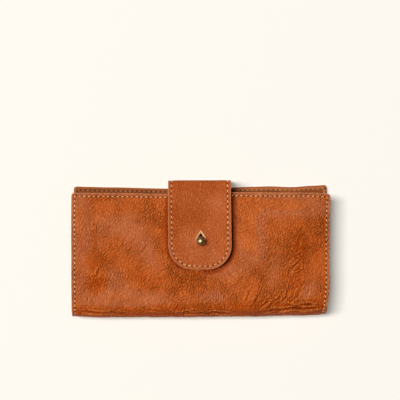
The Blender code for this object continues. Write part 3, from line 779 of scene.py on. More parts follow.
def make_stage():
    """A pale floor that glows a little, like a light table, under one large soft light from the left."""
    corners = [(x * FLOOR_REACH, y * FLOOR_REACH, 0) for x, y in ((-1, -1), (1, -1), (1, 1), (-1, 1))]
    floor = add_mesh("floor", corners, [(0, 1, 2, 3)])
    floor.location.z = FLOOR_Z
    paper, tree, shader = new_material("pale_floor")
    looks = {
        "Base Color": FLOOR_COLOUR,
        "Roughness": 0.9,
        "Specular IOR Level": 0.0,
        "Emission Color": FLOOR_GLOW_COLOUR,
        "Emission Strength": FLOOR_GLOW,
    }
    plug(tree, shader, looks)
    floor.data.materials.append(paper)

    data = bpy.data.lights.new("key_softbox", "AREA")
    data.shape = "RECTANGLE"
    data.size, data.size_y = ((high - low) * KEY_HEIGHT for low, high in zip(KEY_FROM, KEY_TO))
    data.energy = KEY_LIGHT * (math.pi * KEY_HEIGHT) ** 2
    middle = [(low + high) / 2 * KEY_HEIGHT for low, high in zip(KEY_FROM, KEY_TO)]
    add_object("key_softbox", data).location = (*middle, KEY_HEIGHT)

    world = bpy.data.worlds.new("studio")
    world.use_nodes = True
    background = world.node_tree.nodes["Background"]
    plug(world.node_tree, background, {"Color": WORLD_COLOUR, "Strength": WORLD_STRENGTH})
    bpy.context.scene.world = world


def make_camera():
    data = bpy.data.cameras.new("camera")
    data.sensor_width = SENSOR
    data.lens = SENSOR * (CAMERA_PLACE[2] - TOP_Z) / VIEW_WIDTH
    data.clip_start, data.clip_end = 0.01, 20
    camera = add_object("camera", data)
    camera.location = CAMERA_PLACE
    scene = bpy.context.scene
    scene.camera = camera
    scene.view_settings.view_transform = "Standard"
    scene.view_settings.look = "None"


# ---------------------------------------------------------------- outlines of the covers


def cover_half_width(y):
    """Half of the covers' width: straight sides that draw in towards the spine."""
    reach = np.maximum(0.0, 1 - (y - SPINE_Y) / (30 * MM))
    return HALF_WIDTH - 2.2 * MM * np.minimum(reach, 1.35) ** 2


def side_waver(v, seed):
    """How far a hand-cut side strays from its line."""
    return 0.22 * MM * soft_noise(v, np.zeros(np.shape(v)), 17 * MM, seed)


FRONT_LENGTH = FRONT_SECTION.walked[-1]
BACK_LENGTH = BACK_SECTION.walked[-1]


def front_flat_y(v):
    """The Y that a place on the front hide has when the fold is rolled out flat."""
    return FRONT_HIGH.y - (FRONT_LENGTH - v)


def back_flat_y(v):
    return BACK_HIGH.y - v


def left_taper(y):
    """Takes back nearly all that the left side would draw in."""
    return -0.95 * (HALF_WIDTH - cover_half_width(y))


def front_left(v):
    y = front_flat_y(v)
    return -cover_half_width(y) - 0.1 * MM + left_taper(y) + side_waver(v, 21)


def front_right(v):
    y = front_flat_y(v)
    return cover_half_width(y) + 0.5 * MM * smooth((y - 10 * MM) / (30 * MM)) + side_waver(v, 22)


def back_left(v):
    y = back_flat_y(v)
    wider = 0.4 * MM * smooth((y - FLAT_END_Y) / (20 * MM))
    return -cover_half_width(y) - wider + left_taper(y) + side_waver(v, 23)


def back_right(v):
    return cover_half_width(back_flat_y(v)) - 0.1 * MM + side_waver(v, 24)


# How far each free edge strays along Y from a straight line, as X and shift in millimetres.
FRONT_TOP_WAVE = [
    (-96, -0.4), (-60, -0.6), (-25, -1.2), (0, -0.6), (24, 0.1), (52, -0.2), (84, -0.3), (96, -1.2),
]
BACK_TOP_WAVE = [
    (-96, 0.25), (-84, -0.1), (-70, -0.45), (-23, -1.4), (0, -1.1), (24, -0.6), (40, 0), (52, 0.3),
    (68, -0.3), (85, 0.75), (96, 1.5),
]
SPINE_WAVE = [
    (-96, 0.45), (-60, 0.6), (0, 0.45), (24, 0.95), (45, 1.2), (56, 1.5), (68, 1.9), (84, 1.85), (96, 2.5),
]
WAVE_REACH = 16 * MM


def wave(u, points):
    """A smooth line through points, in metres."""
    x, shift = np.array(points).T * MM
    index = np.clip(np.searchsorted(x, u) - 1, 0, len(x) - 2)
    t = smooth((u - x[index]) / (x[index + 1] - x[index]))
    return shift[index] * (1 - t) + shift[index + 1] * t


def front_slide(u, v):
    return wave(u, FRONT_TOP_WAVE) * smooth((v - FRONT_LENGTH + WAVE_REACH) / WAVE_REACH)


def back_slide(u, v):
    return -wave(u, BACK_TOP_WAVE) * smooth((WAVE_REACH - v) / WAVE_REACH)


def spine_pull(places):
    """Moves the spine by its wave, which draws its right end in the most."""
    reach = smooth((FLAT_END_Y + 6 * MM - places[..., 1]) / (13 * MM))
    moved = places.copy()
    moved[..., 1] += wave(places[..., 0], SPINE_WAVE) * reach
    return moved


# ---------------------------------------------------------------- relief of the outer leather

# Wrinkles on the front hide, as X and rolled-out Y in millimetres, with their depth and half width.
FRONT_WRINKLES = [
    # along the fold, right
    ([(46, -46.8), (56, -45.0), (64, -45.4), (72, -43.9), (80, -44.6), (93, -43.6)], 0.42, 0.95),
    ([(56, -42.8), (64, -41.2), (72, -42.2), (80, -40.9), (93, -41.8)], 0.28, 0.85),
    ([(40, -46.6), (54, -46.0), (68, -45.6), (82, -45.2), (93, -45.2)], 0.26, 0.80),
    ([(70, -38.0), (80, -37.2), (91, -38.2)], 0.13, 0.70),
    # along the fold, left and middle
    ([(-92, -46.2), (-80, -46.9), (-66, -47.3), (-50, -46.9)], 0.22, 0.80),
    ([(-60, -47.2), (-46, -45.4), (-34, -44.6), (-22, -45.0)], 0.15, 0.70),
    ([(-40, -47.8), (-20, -47.5), (0, -47.2), (22, -47.6), (38, -46.9)], 0.24, 0.80),
    ([(-14, -45.0), (2, -45.6), (18, -44.8), (34, -45.3)], 0.12, 0.70),
    ([(-90, -43.4), (-78, -44.2), (-66, -43.6)], 0.10, 0.65),
    # slanting, lower right
    ([(42, -46.0), (47, -41.0), (52, -35.0)], 0.28, 0.80),
    ([(47, -45.6), (54, -39.0), (60, -32.0)], 0.26, 0.80),
    ([(54, -43.0), (61, -36.0), (66, -28.5)], 0.20, 0.85),
    ([(36, -43.5), (41, -37.5), (44, -31.0)], 0.20, 0.80),
    ([(29, -42.0), (34, -36.0), (38, -28.0)], 0.15, 0.80),
    ([(63, -41.0), (70, -35.0), (75, -27.0)], 0.14, 0.80),
    ([(60, -24.0), (67, -15.0), (72, -6.0)], 0.16, 0.90),
    ([(48, -22.0), (54, -13.0), (58, -3.0)], 0.13, 0.90),
    ([(66, 4.0), (71, 12.0), (78, 19.0)], 0.10, 0.90),
    # spreading from the tab's lower corners
    ([(17, -13.5), (23, -19.0), (29, -26.5)], 0.13, 0.70),
    ([(20, -11.0), (27, -17.0), (33, -23.0)], 0.10, 0.70),
    ([(14.5, -15.0), (19, -21.5), (23.5, -29.0)], 0.11, 0.65),
    ([(12, -15.5), (15, -22.0), (17, -29.0)], 0.15, 0.70),
    ([(-15, -15.0), (-20, -22.0), (-25, -30.0)], 0.20, 0.75),
    ([(-8, -16.5), (-11, -24.0), (-13, -31.0)], 0.12, 0.70),
    ([(-21, -10.5), (-28, -15.0), (-34, -21.0)], 0.12, 0.75),
    ([(3, -16.5), (4, -24.0), (3, -31.0)], 0.10, 0.75),
    # beside the tab, upper left
    ([(-30, 29.0), (-27, 23.0), (-25.6, 15.0)], 0.28, 0.65),
    ([(-33, 25.0), (-30, 19.0), (-28.5, 12.0)], 0.10, 0.70),
    # left half
    ([(-55, -22.0), (-48, -29.0), (-40, -33.0)], 0.14, 0.90),
    ([(-62, -5.0), (-56, 6.0), (-51, 17.0)], 0.11, 0.90),
    ([(-47, -8.0), (-41, 3.0), (-38, 14.0)], 0.11, 0.90),
    ([(-79, -22.0), (-73, -12.0), (-71, -2.0)], 0.12, 0.90),
    ([(-78, 30.0), (-72, 25.0), (-66, 21.0)], 0.10, 0.80),
    ([(-86, 12.0), (-80, 21.0), (-77, 30.0)], 0.09, 0.80),
]


def seam_groove(distance, inset=SEAM_INSET, depth=0.34, width=0.8):
    """The channel that a seam pulls into leather, and the low band outside it."""
    channel = -depth * MM * bell(distance - inset, width * MM)
    band = -0.10 * MM * smooth((inset - distance) / (1.2 * MM))
    return channel + band


def grain_relief(x, y, seed, amount=1.0):
    """Drawn-out lumps that tumbled leather has, stronger in some areas than in others."""
    where = 0.55 + 0.45 * soft_noise(x, y, 26 * MM, seed)
    lines = streak_noise(x, y, 58, 6.5 * MM, 1.9 * MM, seed + 1)
    crossed = streak_noise(x, y, 118, 5.0 * MM, 1.8 * MM, seed + 2)
    mixed = lines * where + crossed * (1 - where) * 0.8
    pebbles = soft_noise(x, y, 1.7 * MM, seed + 3)
    lumps = soft_noise(x, y, 4.5 * MM, seed + 4)
    swell = soft_noise(x, y, 14 * MM, seed + 5)
    return amount * MM * (0.085 * mixed + 0.045 * pebbles + 0.07 * lumps + 0.16 * swell)


def front_wrinkles(u, y, scale):
    """The relief of each wrinkle of the front hide, with its depth times scale."""
    for points, depth, width in FRONT_WRINKLES:
        yield wrinkle(u, y, [(px * MM, py * MM) for px, py in points], depth * scale, width * MM)


def tab_distance(u, y):
    """Distance outside the tab's outline on the front cover."""
    a = np.abs(u + 0.4 * MM) - (TAB_HALF_WIDTH - TAB_CORNER_R)
    b = (TONGUE_LOW.y + TAB_CORNER_R) - y
    return np.hypot(np.maximum(a, 0), np.maximum(b, 0)) - TAB_CORNER_R


def front_height(u, v, d):
    y = front_flat_y(v)
    inside = smooth((d - SEAM_INSET) / (4 * MM))
    swell = 0.45 * MM * smooth((d - SEAM_INSET) / (22 * MM)) + 0.22 * MM * soft_noise(u, y, 38 * MM, 5)
    lumpier = 1 + 0.7 * smooth((-8 * MM - y) / (20 * MM))
    h = swell * inside + grain_relief(u, y, 50) * lumpier * (0.15 + 0.85 * inside)
    for relief in front_wrinkles(u, y, 1.3 * MM):
        h = h + relief
    # The tab has pressed a shallow bed into the leather that it lies on.
    bed = smooth((TAB_HALF_WIDTH + 2 * MM - np.abs(u)) / (3 * MM))
    bed = bed * smooth((y - TONGUE_LOW.y + 2 * MM) / (4 * MM))
    beside = bell(tab_distance(u, y) - 0.6 * MM, 1.8 * MM) * smooth((u + 6 * MM) / (20 * MM))
    return h * (1 - 0.75 * bed) - (0.25 * bed + 0.8 * beside) * MM * inside + seam_groove(d)


def back_height(u, v, d):
    """The back is pressed nearly flat by what it lies on, so its relief only goes inwards."""
    y = back_flat_y(v)
    on_flat = smooth((y - FLAT_END_Y) / (6 * MM))
    relief = grain_relief(u, y, 70, 0.8)
    pressed = np.minimum(relief * 0.5 - 0.10 * MM, 0)
    return on_flat * pressed + (1 - on_flat) * relief + seam_groove(d, depth=0.28)


# Patches that lighten the front hide (above 0) or darken it (below 0): polish, oil and painted light and
# shade: the middle, the reach along and across a slant, in millimetres, the slant in degrees, and the
# strength.
FRONT_PATCHES = [
    (-89, 23, 16, 4.5, 90, 0.8),
    (-88, 0, 42, 6.0, 90, 0.8),
    (-45, -37, 36, 6.5, 0, 0.6),
    (35, 24, 18, 8, 90, 1.9),
    (62, 33, 30, 6, -4, 1.7),
    (86, 0, 30, 5, 90, -0.3),
    (-50, 13, 13, 8, -50, 0.9),
    (-38, -6, 13, 5, -70, 0.55),
    (-66, -32, 13, 9, 20, 0.95),
    (-46, -39, 15, 4, 0, 0.6),
    (36, 4, 13, 8, -55, 1.1),
    (21, -17, 12, 5, 15, 0.8),
    (10, -35, 7, 5, 0, 0.8),
    (80, -30, 9, 4, 65, 1.0),
    (54, -16, 13, 4, 75, 0.5),
    (-76, -26, 6, 7, 0, -1.8),
    (-69, 17, 8, 7, 0, 0.7),
    (-64, -18, 8, 6, 0, 0.6),
    (-77, -10, 10, 6, 0, -0.8),
    (73, 2, 11, 6, 80, -1.2),
    (70, -24, 10, 4, 75, -0.8),
    (44, -33, 15, 8, 20, -0.2),
    # Painted shade beside the tab's left edge.
    (-27, 15, 9, 3, 90, -1.0),
    (-46, -21, 15, 6, -15, -0.6),
    (-11, -26, 14, 7, 5, -0.5),
    # Painted shade where the spine's fold turns from the light, and a painted highlight on its lowest edge.
    (0, -49, 130, 5.5, 0, -2.3),
    (0, -55, 130, 2.8, 0, 3.4),
    (70, -41, 26, 4.5, 2, -1.0),
]
# Patches on the tab, listed as for the front. The darker ones along its left side and on its bend are painted
# shade.
TAB_PATCHES = [
    (-5, 25, 12, 7, 0, -0.8),
    (-19, 24, 24, 4.0, 90, -1.0),
    (-7, 3, 9, 9, 0, 0.2),
    (11, -5, 9, 6, 0, 0.3),
    (8, 28, 14, 5, 70, 0.3),
    (0, 46, 30, 5, 0, -0.8),
]


def patches(u, y, listed):
    total = np.zeros(np.shape(u))
    for x0, y0, along, across, slant, strength in listed:
        a = math.radians(slant)
        dx, dy = u - x0 * MM, y - y0 * MM
        p = (dx * math.cos(a) + dy * math.sin(a)) / (along * MM)
        q = (-dx * math.sin(a) + dy * math.cos(a)) / (across * MM)
        total += strength * np.exp(-(p * p + q * q) * 0.8)
    return total


def front_tone(u, v, d):
    """Painted shade and highlight on the wrinkles, a darker seam, and painted shade beside the tab and under
    it by the stud.
    """
    y = front_flat_y(v)
    crease = np.zeros(np.shape(u))
    for relief in front_wrinkles(u, y, 1 / 0.28):
        crease = np.where(np.abs(relief) > np.abs(crease), -relief, crease)
    crease = np.clip(crease, -0.9, 0.9)
    beside = tab_distance(u, y)
    from_stud = np.hypot(u - STUD_CENTRE.x, y - STUD_CENTRE.y - 2.2 * MM)
    seam_and_shade = (
        0.50 * bell(d - SEAM_INSET, 0.6 * MM),
        # Painted shadow right of the tab, painted shade left of it, and near-black painted shade under the
        # tab round the stud.
        1.3 * bell(np.maximum(beside - 1.1 * MM, 0), 2.8 * MM) * smooth((u + 6 * MM) / (20 * MM)),
        0.95 * bell(np.maximum(beside - 0.6 * MM, 0), 2.2 * MM) * smooth(-u / (20 * MM)),
        2.0 * smooth((7.2 * MM - from_stud) / (2 * MM)),
    )
    dark = np.max(seam_and_shade, axis=0)
    return np.where(dark > np.abs(crease), dark, crease), patches(u, y, FRONT_PATCHES)


def back_tone(u, v, d):
    y = back_flat_y(v)
    near_fold = smooth((FLAT_END_Y + 4 * MM - y) / (4 * MM))
    return 0.12 * bell(d - SEAM_INSET, 0.7 * MM), 0.8 * soft_noise(u, y, 21 * MM, 33) - 0.9 * near_fold


def tongue_tone(u, v, d):
    # Painted shade along the tab's left margin, and darker round the buttonhole.
    left_margin_shade = smooth((2.1 * MM - d) / (0.6 * MM)) * smooth(d / (0.8 * MM)) * smooth((-14 * MM - u) / (4 * MM))
    pressed = bell(outline_distance(u, v, teardrop_outline()), 1.5 * MM)
    marks = (0.45 * bell(d - SEAM_INSET, 0.6 * MM), 0.6 * left_margin_shade, 0.35 * pressed)
    return np.max(marks, axis=0), patches(u, TONGUE_LOW.y + v, TAB_PATCHES)


FRONT_HIDE = Hide(
    FRONT_SECTION, FRONT_LENGTH, front_left, front_right, LEATHER, low_edge=False, corner_high=2.0 * MM,
    height=front_height, tone=front_tone, slide=front_slide, pull=spine_pull,
)
BACK_HIDE = Hide(
    BACK_SECTION, BACK_LENGTH, back_left, back_right, LEATHER, high_edge=False, corner_low=2.5 * MM,
    height=back_height, tone=back_tone, slide=back_slide, pull=spine_pull,
)
# Each fold's two bodies, and where its leather leaves the one and reaches the other.
FOLD_BLENDS = {
    "front": ("front", "spine", (0, FLAT_END_Y, TOP_Z), (0, SPINE_Y, TOP_Z - FOLD_R)),
    "back": ("back", "spine", (0, FLAT_END_Y, 0), (0, SPINE_Y, FOLD_R)),
    "tongue": (
        "tab_tongue", "tab_bridge", (0, TAB_TOP_CENTRE[0], TAB_TOP_Z), (0, TAB_OUTER_Y, TAB_TOP_CENTRE[1])
    ),
    "tab_base": (
        "back", "tab_bridge", (0, TAB_LOW_CENTRE[0], TAB_LOW_Z), (0, TAB_OUTER_Y, TAB_LOW_CENTRE[1])
    ),
}


def carry(made, body, fold=None):
    """A piece rides on one body. A piece of a fold only has its place baked into its mesh."""
    if fold:
        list(FOLD_BLENDS[fold])
        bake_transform(made)
    else:
        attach(made, body)


def add_hide(name, hide, spacing, material, slot, replaced=(), body=None, fold=None, **options):
    """Builds a hide, dresses it and puts it in the place of CAD pieces."""
    made = hide_mesh(name, hide, spacing, **options)
    dress(made, material, slot)
    if replaced:
        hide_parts(*replaced)
    carry(made, body, fold)


# ---------------------------------------------------------------- stitches


def leather_frame(direction, normal):
    """Unit vectors along a seam, across it and out of the leather."""
    direction = direction / np.linalg.norm(direction)
    side = np.cross(normal, direction)
    side /= np.linalg.norm(side)
    return direction, side, np.cross(direction, side)


def tube_faces(base, rings, sides):
    """Faces between rings of vertices, whose numbers start at base."""
    faces = []
    for r in range(rings - 1):
        for s in range(sides):
            a, b = base + r * sides + s, base + r * sides + (s + 1) % sides
            faces.append((a, b, b + sides, a + sides))
    return faces


def stitch_mesh(name, places, length, radius=0.38 * MM, sides=8, rings=6):
    """Rows of separate stitches: each a short round-ended strand that dips into the leather at both ends."""
    ring_angles = np.linspace(0, 2 * math.pi, sides, endpoint=False)
    vertices, faces = [], []
    jitter = np.random.default_rng(len(places[0]))
    for centre, direction, normal in zip(*places):
        direction, side, up = leather_frame(direction, normal)
        slant = math.radians(13) + jitter.normal(0, 0.035)
        direction = direction * math.cos(slant) + side * math.sin(slant)
        side = np.cross(up, direction)
        half = length / 2 * (1 + jitter.normal(0, 0.03))
        base = len(vertices)
        for k in np.linspace(-1, 1, rings):
            thick = radius * math.sqrt(max(1 - abs(k) ** 3.2, 0.03)) * (1 + jitter.normal(0, 0.03))
            sunk = -0.42 * MM * abs(k) ** 3 + 0.08 * MM
            middle = centre + direction * (k * half) + up * sunk
            for a in ring_angles:
                vertices.append(middle + side * (thick * math.cos(a)) + up * (0.85 * thick * math.sin(a)))
        faces += tube_faces(base, rings, sides)
        faces.append(tuple(base + s for s in reversed(range(sides))))
        faces.append(tuple(base + (rings - 1) * sides + s for s in range(sides)))
    made = add_mesh(name, vertices, faces)
    made.data.shade_smooth()
    return made


def needle_holes(name, places, radius=0.68 * MM, sides=10):
    """A puckered dimple in the leather at the end of each stitch, as a shallow funnel painted near-black for
    the shade in the hole.
    """
    funnel = ((1.0, 0.10), (0.72, 0.18), (0.30, -0.02))  # each ring's share of the radius and its lift in mm
    vertices, faces = [], []
    for centre, direction, normal in zip(*places):
        direction, side, up = leather_frame(direction, normal)
        base = len(vertices)
        for share, lift in funnel:
            for s in range(sides):
                a = 2 * math.pi * s / sides
                spot = centre + direction * (radius * 0.95 * share * math.cos(a))
                vertices.append(spot + side * (radius * 0.80 * share * math.sin(a)) + up * lift * MM)
        vertices += [centre - up * 0.25 * MM, centre - up * 0.35 * MM]
        faces += tube_faces(base, len(funnel), sides)
        bottom = base + len(funnel) * sides
        for s in range(sides):
            n = (s + 1) % sides
            faces.append((bottom - sides + s, bottom - sides + n, bottom))
            faces.append((base + n, base + s, bottom + 1))
    made = add_mesh(name, vertices, faces)
    made.data.shade_smooth()
    return made


def walk(points, pitch):
    """Even places along a flat line of (u, v) points, the line's direction at each, and their spacing."""
    line = np.array(points, float)
    walked = walked_along(line)
    count = int(walked[-1] / pitch)
    at = (np.arange(count) + 0.5) * walked[-1] / count
    step = 0.3 * MM
    u, v = (np.interp(at, walked, column) for column in line.T)
    du, dv = (np.interp(at + step, walked, c) - np.interp(at - step, walked, c) for c in line.T)
    length = np.hypot(du, dv)
    return u, v, du / length, dv / length, walked[-1] / count


def surface_frames(hide, u, v, du, dv):
    """Places on a hide's face with the direction of the seam and the way out of the leather."""
    step = 0.4 * MM
    along = hide.on_face(u + du * step, v + dv * step) - hide.on_face(u - du * step, v - dv * step)
    out = hide.on_face(u, v, 1 * MM) - hide.on_face(u, v)
    out /= np.linalg.norm(out, axis=1)[:, None]
    return hide.on_face(u, v), along, out


def sew(name, hide, points, body=None, fold=None, replaced=(), pitch=STITCH_PITCH, thread_look=THREAD):
    """A seam along flat points of a hide: its stitches, and the needle holes between them."""
    u, v, du, dv, step = walk(points, pitch)
    thread = stitch_mesh(f"{name}_stitches", surface_frames(hide, u, v, du, dv), step * 0.66)
    dress(thread, thread_look, "waxed_thread")
    between = surface_frames(hide, u + du * step / 2, v + dv * step / 2, du, dv)
    holes = needle_holes(f"{name}_needle_holes", between)
    dress(holes, NEEDLE_HOLE_SHADE, "waxed_thread")
    if replaced:
        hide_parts(*replaced)
    for made in (thread, holes):
        carry(made, body, fold)


def inset_path(hide, inset, corner, start, round_end, steps=13):
    """The flat line of a seam inside a hide's edges: from start along one side, round one end and back."""
    radius = max(corner - inset, 0.8 * MM)
    sign = 1 if round_end == "high" else -1
    turn_v = (hide.high if round_end == "high" else 0.0) - sign * (inset + radius)
    v_lines = np.linspace(start, turn_v, 60)
    left = [(float(hide.left(v)) + inset, v) for v in v_lines]
    right = [(float(hide.right(v)) - inset, v) for v in v_lines]
    left_turn = arc_points((left[-1][0] + radius, turn_v), radius, 180 * sign, 90 * sign, steps)
    right_turn = arc_points((right[-1][0] - radius, turn_v), radius, 90 * sign, 0, steps)
    return left + left_turn + right_turn + right[::-1]


# ---------------------------------------------------------------- covers


def make_covers():
    look = BODY_LEATHER, "cognac_leather"
    add_hide("front_hide", FRONT_HIDE, 0.72 * MM, *look, ["front_cover"], fold="front")
    add_hide("back_hide", BACK_HIDE, 1.1 * MM, *look, ["back_cover", "spine_leather"], fold="back")
    path = inset_path(FRONT_HIDE, SEAM_INSET, 2.5 * MM, 0.0, "high")
    sew("front_seam", FRONT_HIDE, path, fold="front", replaced=["front_cover_thread"])
    path = inset_path(BACK_HIDE, SEAM_INSET, 2.5 * MM, BACK_LENGTH, "low")
    sew("back_outer_seam", BACK_HIDE, path, fold="back")


# ---------------------------------------------------------------- linings and pockets


def panel(name, box, facing_up, spacing, material, slot, body, replaced, corner=1.5 * MM, **options):
    """A flat panel with soft edges in the place of a CAD piece. box is its low and high corners.

    Its section is walked towards +Y where it faces up, and towards -Y where it faces down.
    """
    low, high = box
    z = high.z if facing_up else low.z
    ends = ((low.y, z), (high.y, z)) if facing_up else ((high.y, z), (low.y, z))
    hide = Hide(
        Section(line_points(*ends)), high.y - low.y, lambda v: low.x + 0 * v, lambda v: high.x + 0 * v,
        high.z - low.z, corner_low=corner, corner_high=corner, **options,
    )
    add_hide(name, hide, spacing, material, slot, replaced, body, inner_step=3)
    return hide


def make_linings():
    """Each cover's lining is turned over its board and meets the leather, so that the board doesn't show."""
    margin = 0.9 * MM
    to_free_edge = BACK_HIGH.y - margin - BACK_LINING_LOW.y
    look = 1.6 * MM, LINING_LEATHER, "lining_leather"

    def soft_lining(u, v, d):
        return 0.10 * MM * soft_noise(u, v, 12 * MM, 81) + seam_groove(d, SEAM_INSET - margin, 0.30, 0.7)

    def lining_tone(u, v, d):
        """Painted light and shade on the strip that shows above the front cover: lighter to the right, darker
        to the left, darker inside the seam towards the right where the front cover shades it, and the tab's
        painted shadow beside the tab.
        """
        worn = 0.9 * smooth((u + 10 * MM) / (50 * MM)) - 0.7 * smooth((-10 * MM - u) / (50 * MM))
        inside = smooth((d - 2.2 * MM) / (1.2 * MM))
        beside_tab = smooth((50 * MM - u) / (26 * MM)) * smooth(u / (10 * MM))
        return inside * beside_tab, worn - 1.5 * inside * smooth((u + 10 * MM) / (50 * MM))

    def back_lining_slide(u, v):
        return wave(u, BACK_TOP_WAVE) * smooth((v - to_free_edge + WAVE_REACH) / WAVE_REACH)

    def front_lining_slide(u, v):
        return -wave(u, FRONT_TOP_WAVE) * smooth((WAVE_REACH - v) / WAVE_REACH)

    common = {"corner": 2.0 * MM, "height": soft_lining, "round": 0.7 * MM}
    low = Vector((-HALF_WIDTH + margin, BACK_LINING_LOW.y, LEATHER + 0.02 * MM))
    high = Vector((HALF_WIDTH - margin, BACK_HIGH.y - margin, BACK_LINING_HIGH.z))
    back = panel(
        "back_lining_panel", (low, high), True, *look, "back", ["back_lining", "back_board"],
        slide=back_lining_slide, tone=lining_tone, **common,
    )
    path = inset_path(back, SEAM_INSET - margin, 2.0 * MM, 20 * MM, "high")
    sew("back_inner_seam", back, path, "back", replaced=["back_cover_thread"], thread_look=SHADED_INNER_THREAD)
    low = Vector((-HALF_WIDTH + margin, FRONT_LINING_LOW.y, FRONT_LINING_LOW.z))
    high = Vector((HALF_WIDTH - margin, FRONT_HIGH.y - margin, TOP_Z - LEATHER - 0.02 * MM))
    front = panel(
        "front_lining_panel", (low, high), False, *look, "front", ["front_lining", "front_board"],
        slide=front_lining_slide, **common,
    )
    path = inset_path(front, SEAM_INSET - margin, 2.0 * MM, front.high - 20 * MM, "low")
    sew("front_inner_seam", front, path, "front", thread_look=SHADED_INNER_THREAD)


def pocket_relief(u, v, d):
    """A line creased beside the edge, and the leather's slight unevenness."""
    return -0.10 * MM * bell(d - 1.4 * MM, 0.35 * MM) + 0.05 * MM * soft_noise(u, v, 9 * MM, 91)


POCKET_PITCH = 2.9 * MM
POCKET_INSET = 1.6 * MM


def make_pockets():
    """The note pockets' walls, and two columns of card pockets.

    The last pocket of a column is sewn along its sides and its end by the fold. The others' seams are short.
    """
    look = POCKET_LEATHER, "pocket_leather"
    for body, facing_up in (("front", False), ("back", True)):
        name = f"{body}_note_pocket"
        panel(
            f"{name}_wall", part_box(name), facing_up, 2.4 * MM, *look, body, [name],
            height=pocket_relief, round=0.3 * MM,
        )
    for name in (f"card_pocket_{side}_{tier}" for side in ("left", "right") for tier in range(1, 5)):
        hide = panel(
            f"{name}_leather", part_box(name), False, 1.6 * MM, *look, "front", [name],
            height=pocket_relief, round=0.25 * MM,
        )
        if name.endswith("4"):
            path = inset_path(hide, POCKET_INSET, 1.5 * MM, 2 * MM, "high")
            sew(f"{name}_seam", hide, path, "front", pitch=POCKET_PITCH)
            continue
        seams = ("a", float(hide.left(0.0)) + POCKET_INSET), ("b", float(hide.right(0.0)) - POCKET_INSET)
        for mark, x in seams:
            sew(f"{name}_{mark}_seam", hide, [(x, 1.2 * MM), (x, 11 * MM)], "front", pitch=POCKET_PITCH)


# ---------------------------------------------------------------- coin pouch and zip


def make_pouch():
    look = POCKET_LEATHER, "lining_leather", "back"

    def plump(u, v, d):
        bulge = 0.22 * MM * smooth((d - 3 * MM) / (18 * MM))
        return bulge + pocket_relief(u, v, d) + seam_groove(d, SEAM_INSET, 0.22, 0.7)

    def wall(name, facing_up, spacing, height):
        node_name = f"{name}_wall"
        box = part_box(node_name)
        return panel(name, box, facing_up, spacing, *look, [node_name], height=height, round=0.35 * MM)

    front = wall("coin_pouch_front", True, 1.7 * MM, plump)
    path = inset_path(front, SEAM_INSET, 1.5 * MM, front.high - SEAM_INSET, "low")
    sew("coin_pouch_seam", front, path, "back", replaced=["coin_pouch_thread"], pitch=POCKET_PITCH)
    wall("coin_pouch_rear", False, 2.4 * MM, pocket_relief)
    for name in ("coin_pouch_left_gusset", "coin_pouch_right_gusset"):
        dress(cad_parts[name], TAPE, "lining_leather")


def make_spine_lining():
    """The lining of the spine and its folds, in two halves that meet in the middle of the spine."""
    thickness = 0.8 * MM
    radius = FOLD_R - LEATHER - thickness - 0.15 * MM
    start_y = FRONT_LINING_LOW.y - 0.05 * MM
    deep_y = FLAT_END_Y - radius
    upper = Section(
        line_points((start_y, HIGH_FOLD_CENTRE[1] + radius), (FLAT_END_Y, HIGH_FOLD_CENTRE[1] + radius))
        + arc_points(HIGH_FOLD_CENTRE, radius, 90, 180)
        + line_points((deep_y, HIGH_FOLD_CENTRE[1]), (deep_y, TOP_Z / 2))
    )
    lower = Section(
        line_points((deep_y, TOP_Z / 2), (deep_y, LOW_FOLD_CENTRE[1]))
        + arc_points(LOW_FOLD_CENTRE, radius, 180, 270)
        + line_points((FLAT_END_Y, LOW_FOLD_CENTRE[1] - radius), (start_y, LOW_FOLD_CENTRE[1] - radius))
    )
    length = upper.walked[-1]
    margin = 1.1 * MM

    def half_width(walked):
        """walked is the distance from the lining's outer end."""
        return cover_half_width(start_y - walked * (start_y - SPINE_Y) / length) - margin

    for side, section, from_end in (("front", upper, lambda v: v), ("back", lower, lambda v: length - v)):
        on_back = side == "back"
        hide = Hide(
            section, length, lambda v: -half_width(from_end(v)), lambda v: half_width(from_end(v)), thickness,
            low_edge=not on_back, high_edge=on_back, height=pocket_relief, round=0.3 * MM, pull=spine_pull,
        )
        replaced = ["spine_lining"] if on_back else []
        look = LINING_LEATHER, "lining_leather"
        add_hide(f"spine_lining_{side}_half", hide, 1.6 * MM, *look, replaced, fold=side, inner_step=3)


def bar(bm, x, z, half_x, half_z, y_low, y_high, bevel):
    """Adds a block with rounded edges about x and z to bm."""
    made = bmesh.ops.create_cube(bm, size=1)["verts"]
    bmesh.ops.scale(bm, vec=(2 * half_x, y_high - y_low, 2 * half_z), verts=made)
    bmesh.ops.translate(bm, vec=(x, (y_low + y_high) / 2, z), verts=made)
    edges = list({e for v in made for e in v.link_edges})
    bmesh.ops.bevel(bm, geom=edges, offset=bevel, segments=2, affect="EDGES", profile=0.6)


def skin(bm, rings, closed=False):
    """Faces between rings of vertices. A single vertex is a pole; closed joins the last ring to the first."""
    for a, b in zip(rings, rings[1:] + rings[:closed]):
        count = max(len(a), len(b))
        for k in range(count):
            n = (k + 1) % count
            corners = a[k % len(a)], a[n % len(a)], b[n % len(b)], b[k % len(b)]
            bm.faces.new(dict.fromkeys(corners))
    bmesh.ops.recalc_face_normals(bm, faces=bm.faces)


def from_bmesh(name, bm, material, slot, body, replaced=(), sharp=45):
    """Makes a piece from bm, which rides on a body. Edges sharper than so many degrees aren't smoothed."""
    mesh = bpy.data.meshes.new(name)
    bm.to_mesh(mesh)
    bm.free()
    mesh.shade_smooth()
    mesh.set_sharp_from_angle(angle=math.radians(sharp))
    made = add_object(name, mesh)
    dress(made, material, slot)
    if replaced:
        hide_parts(*replaced)
    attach(made, body)


ZIP_METAL = ZIP_BRASS, "antique_brass"


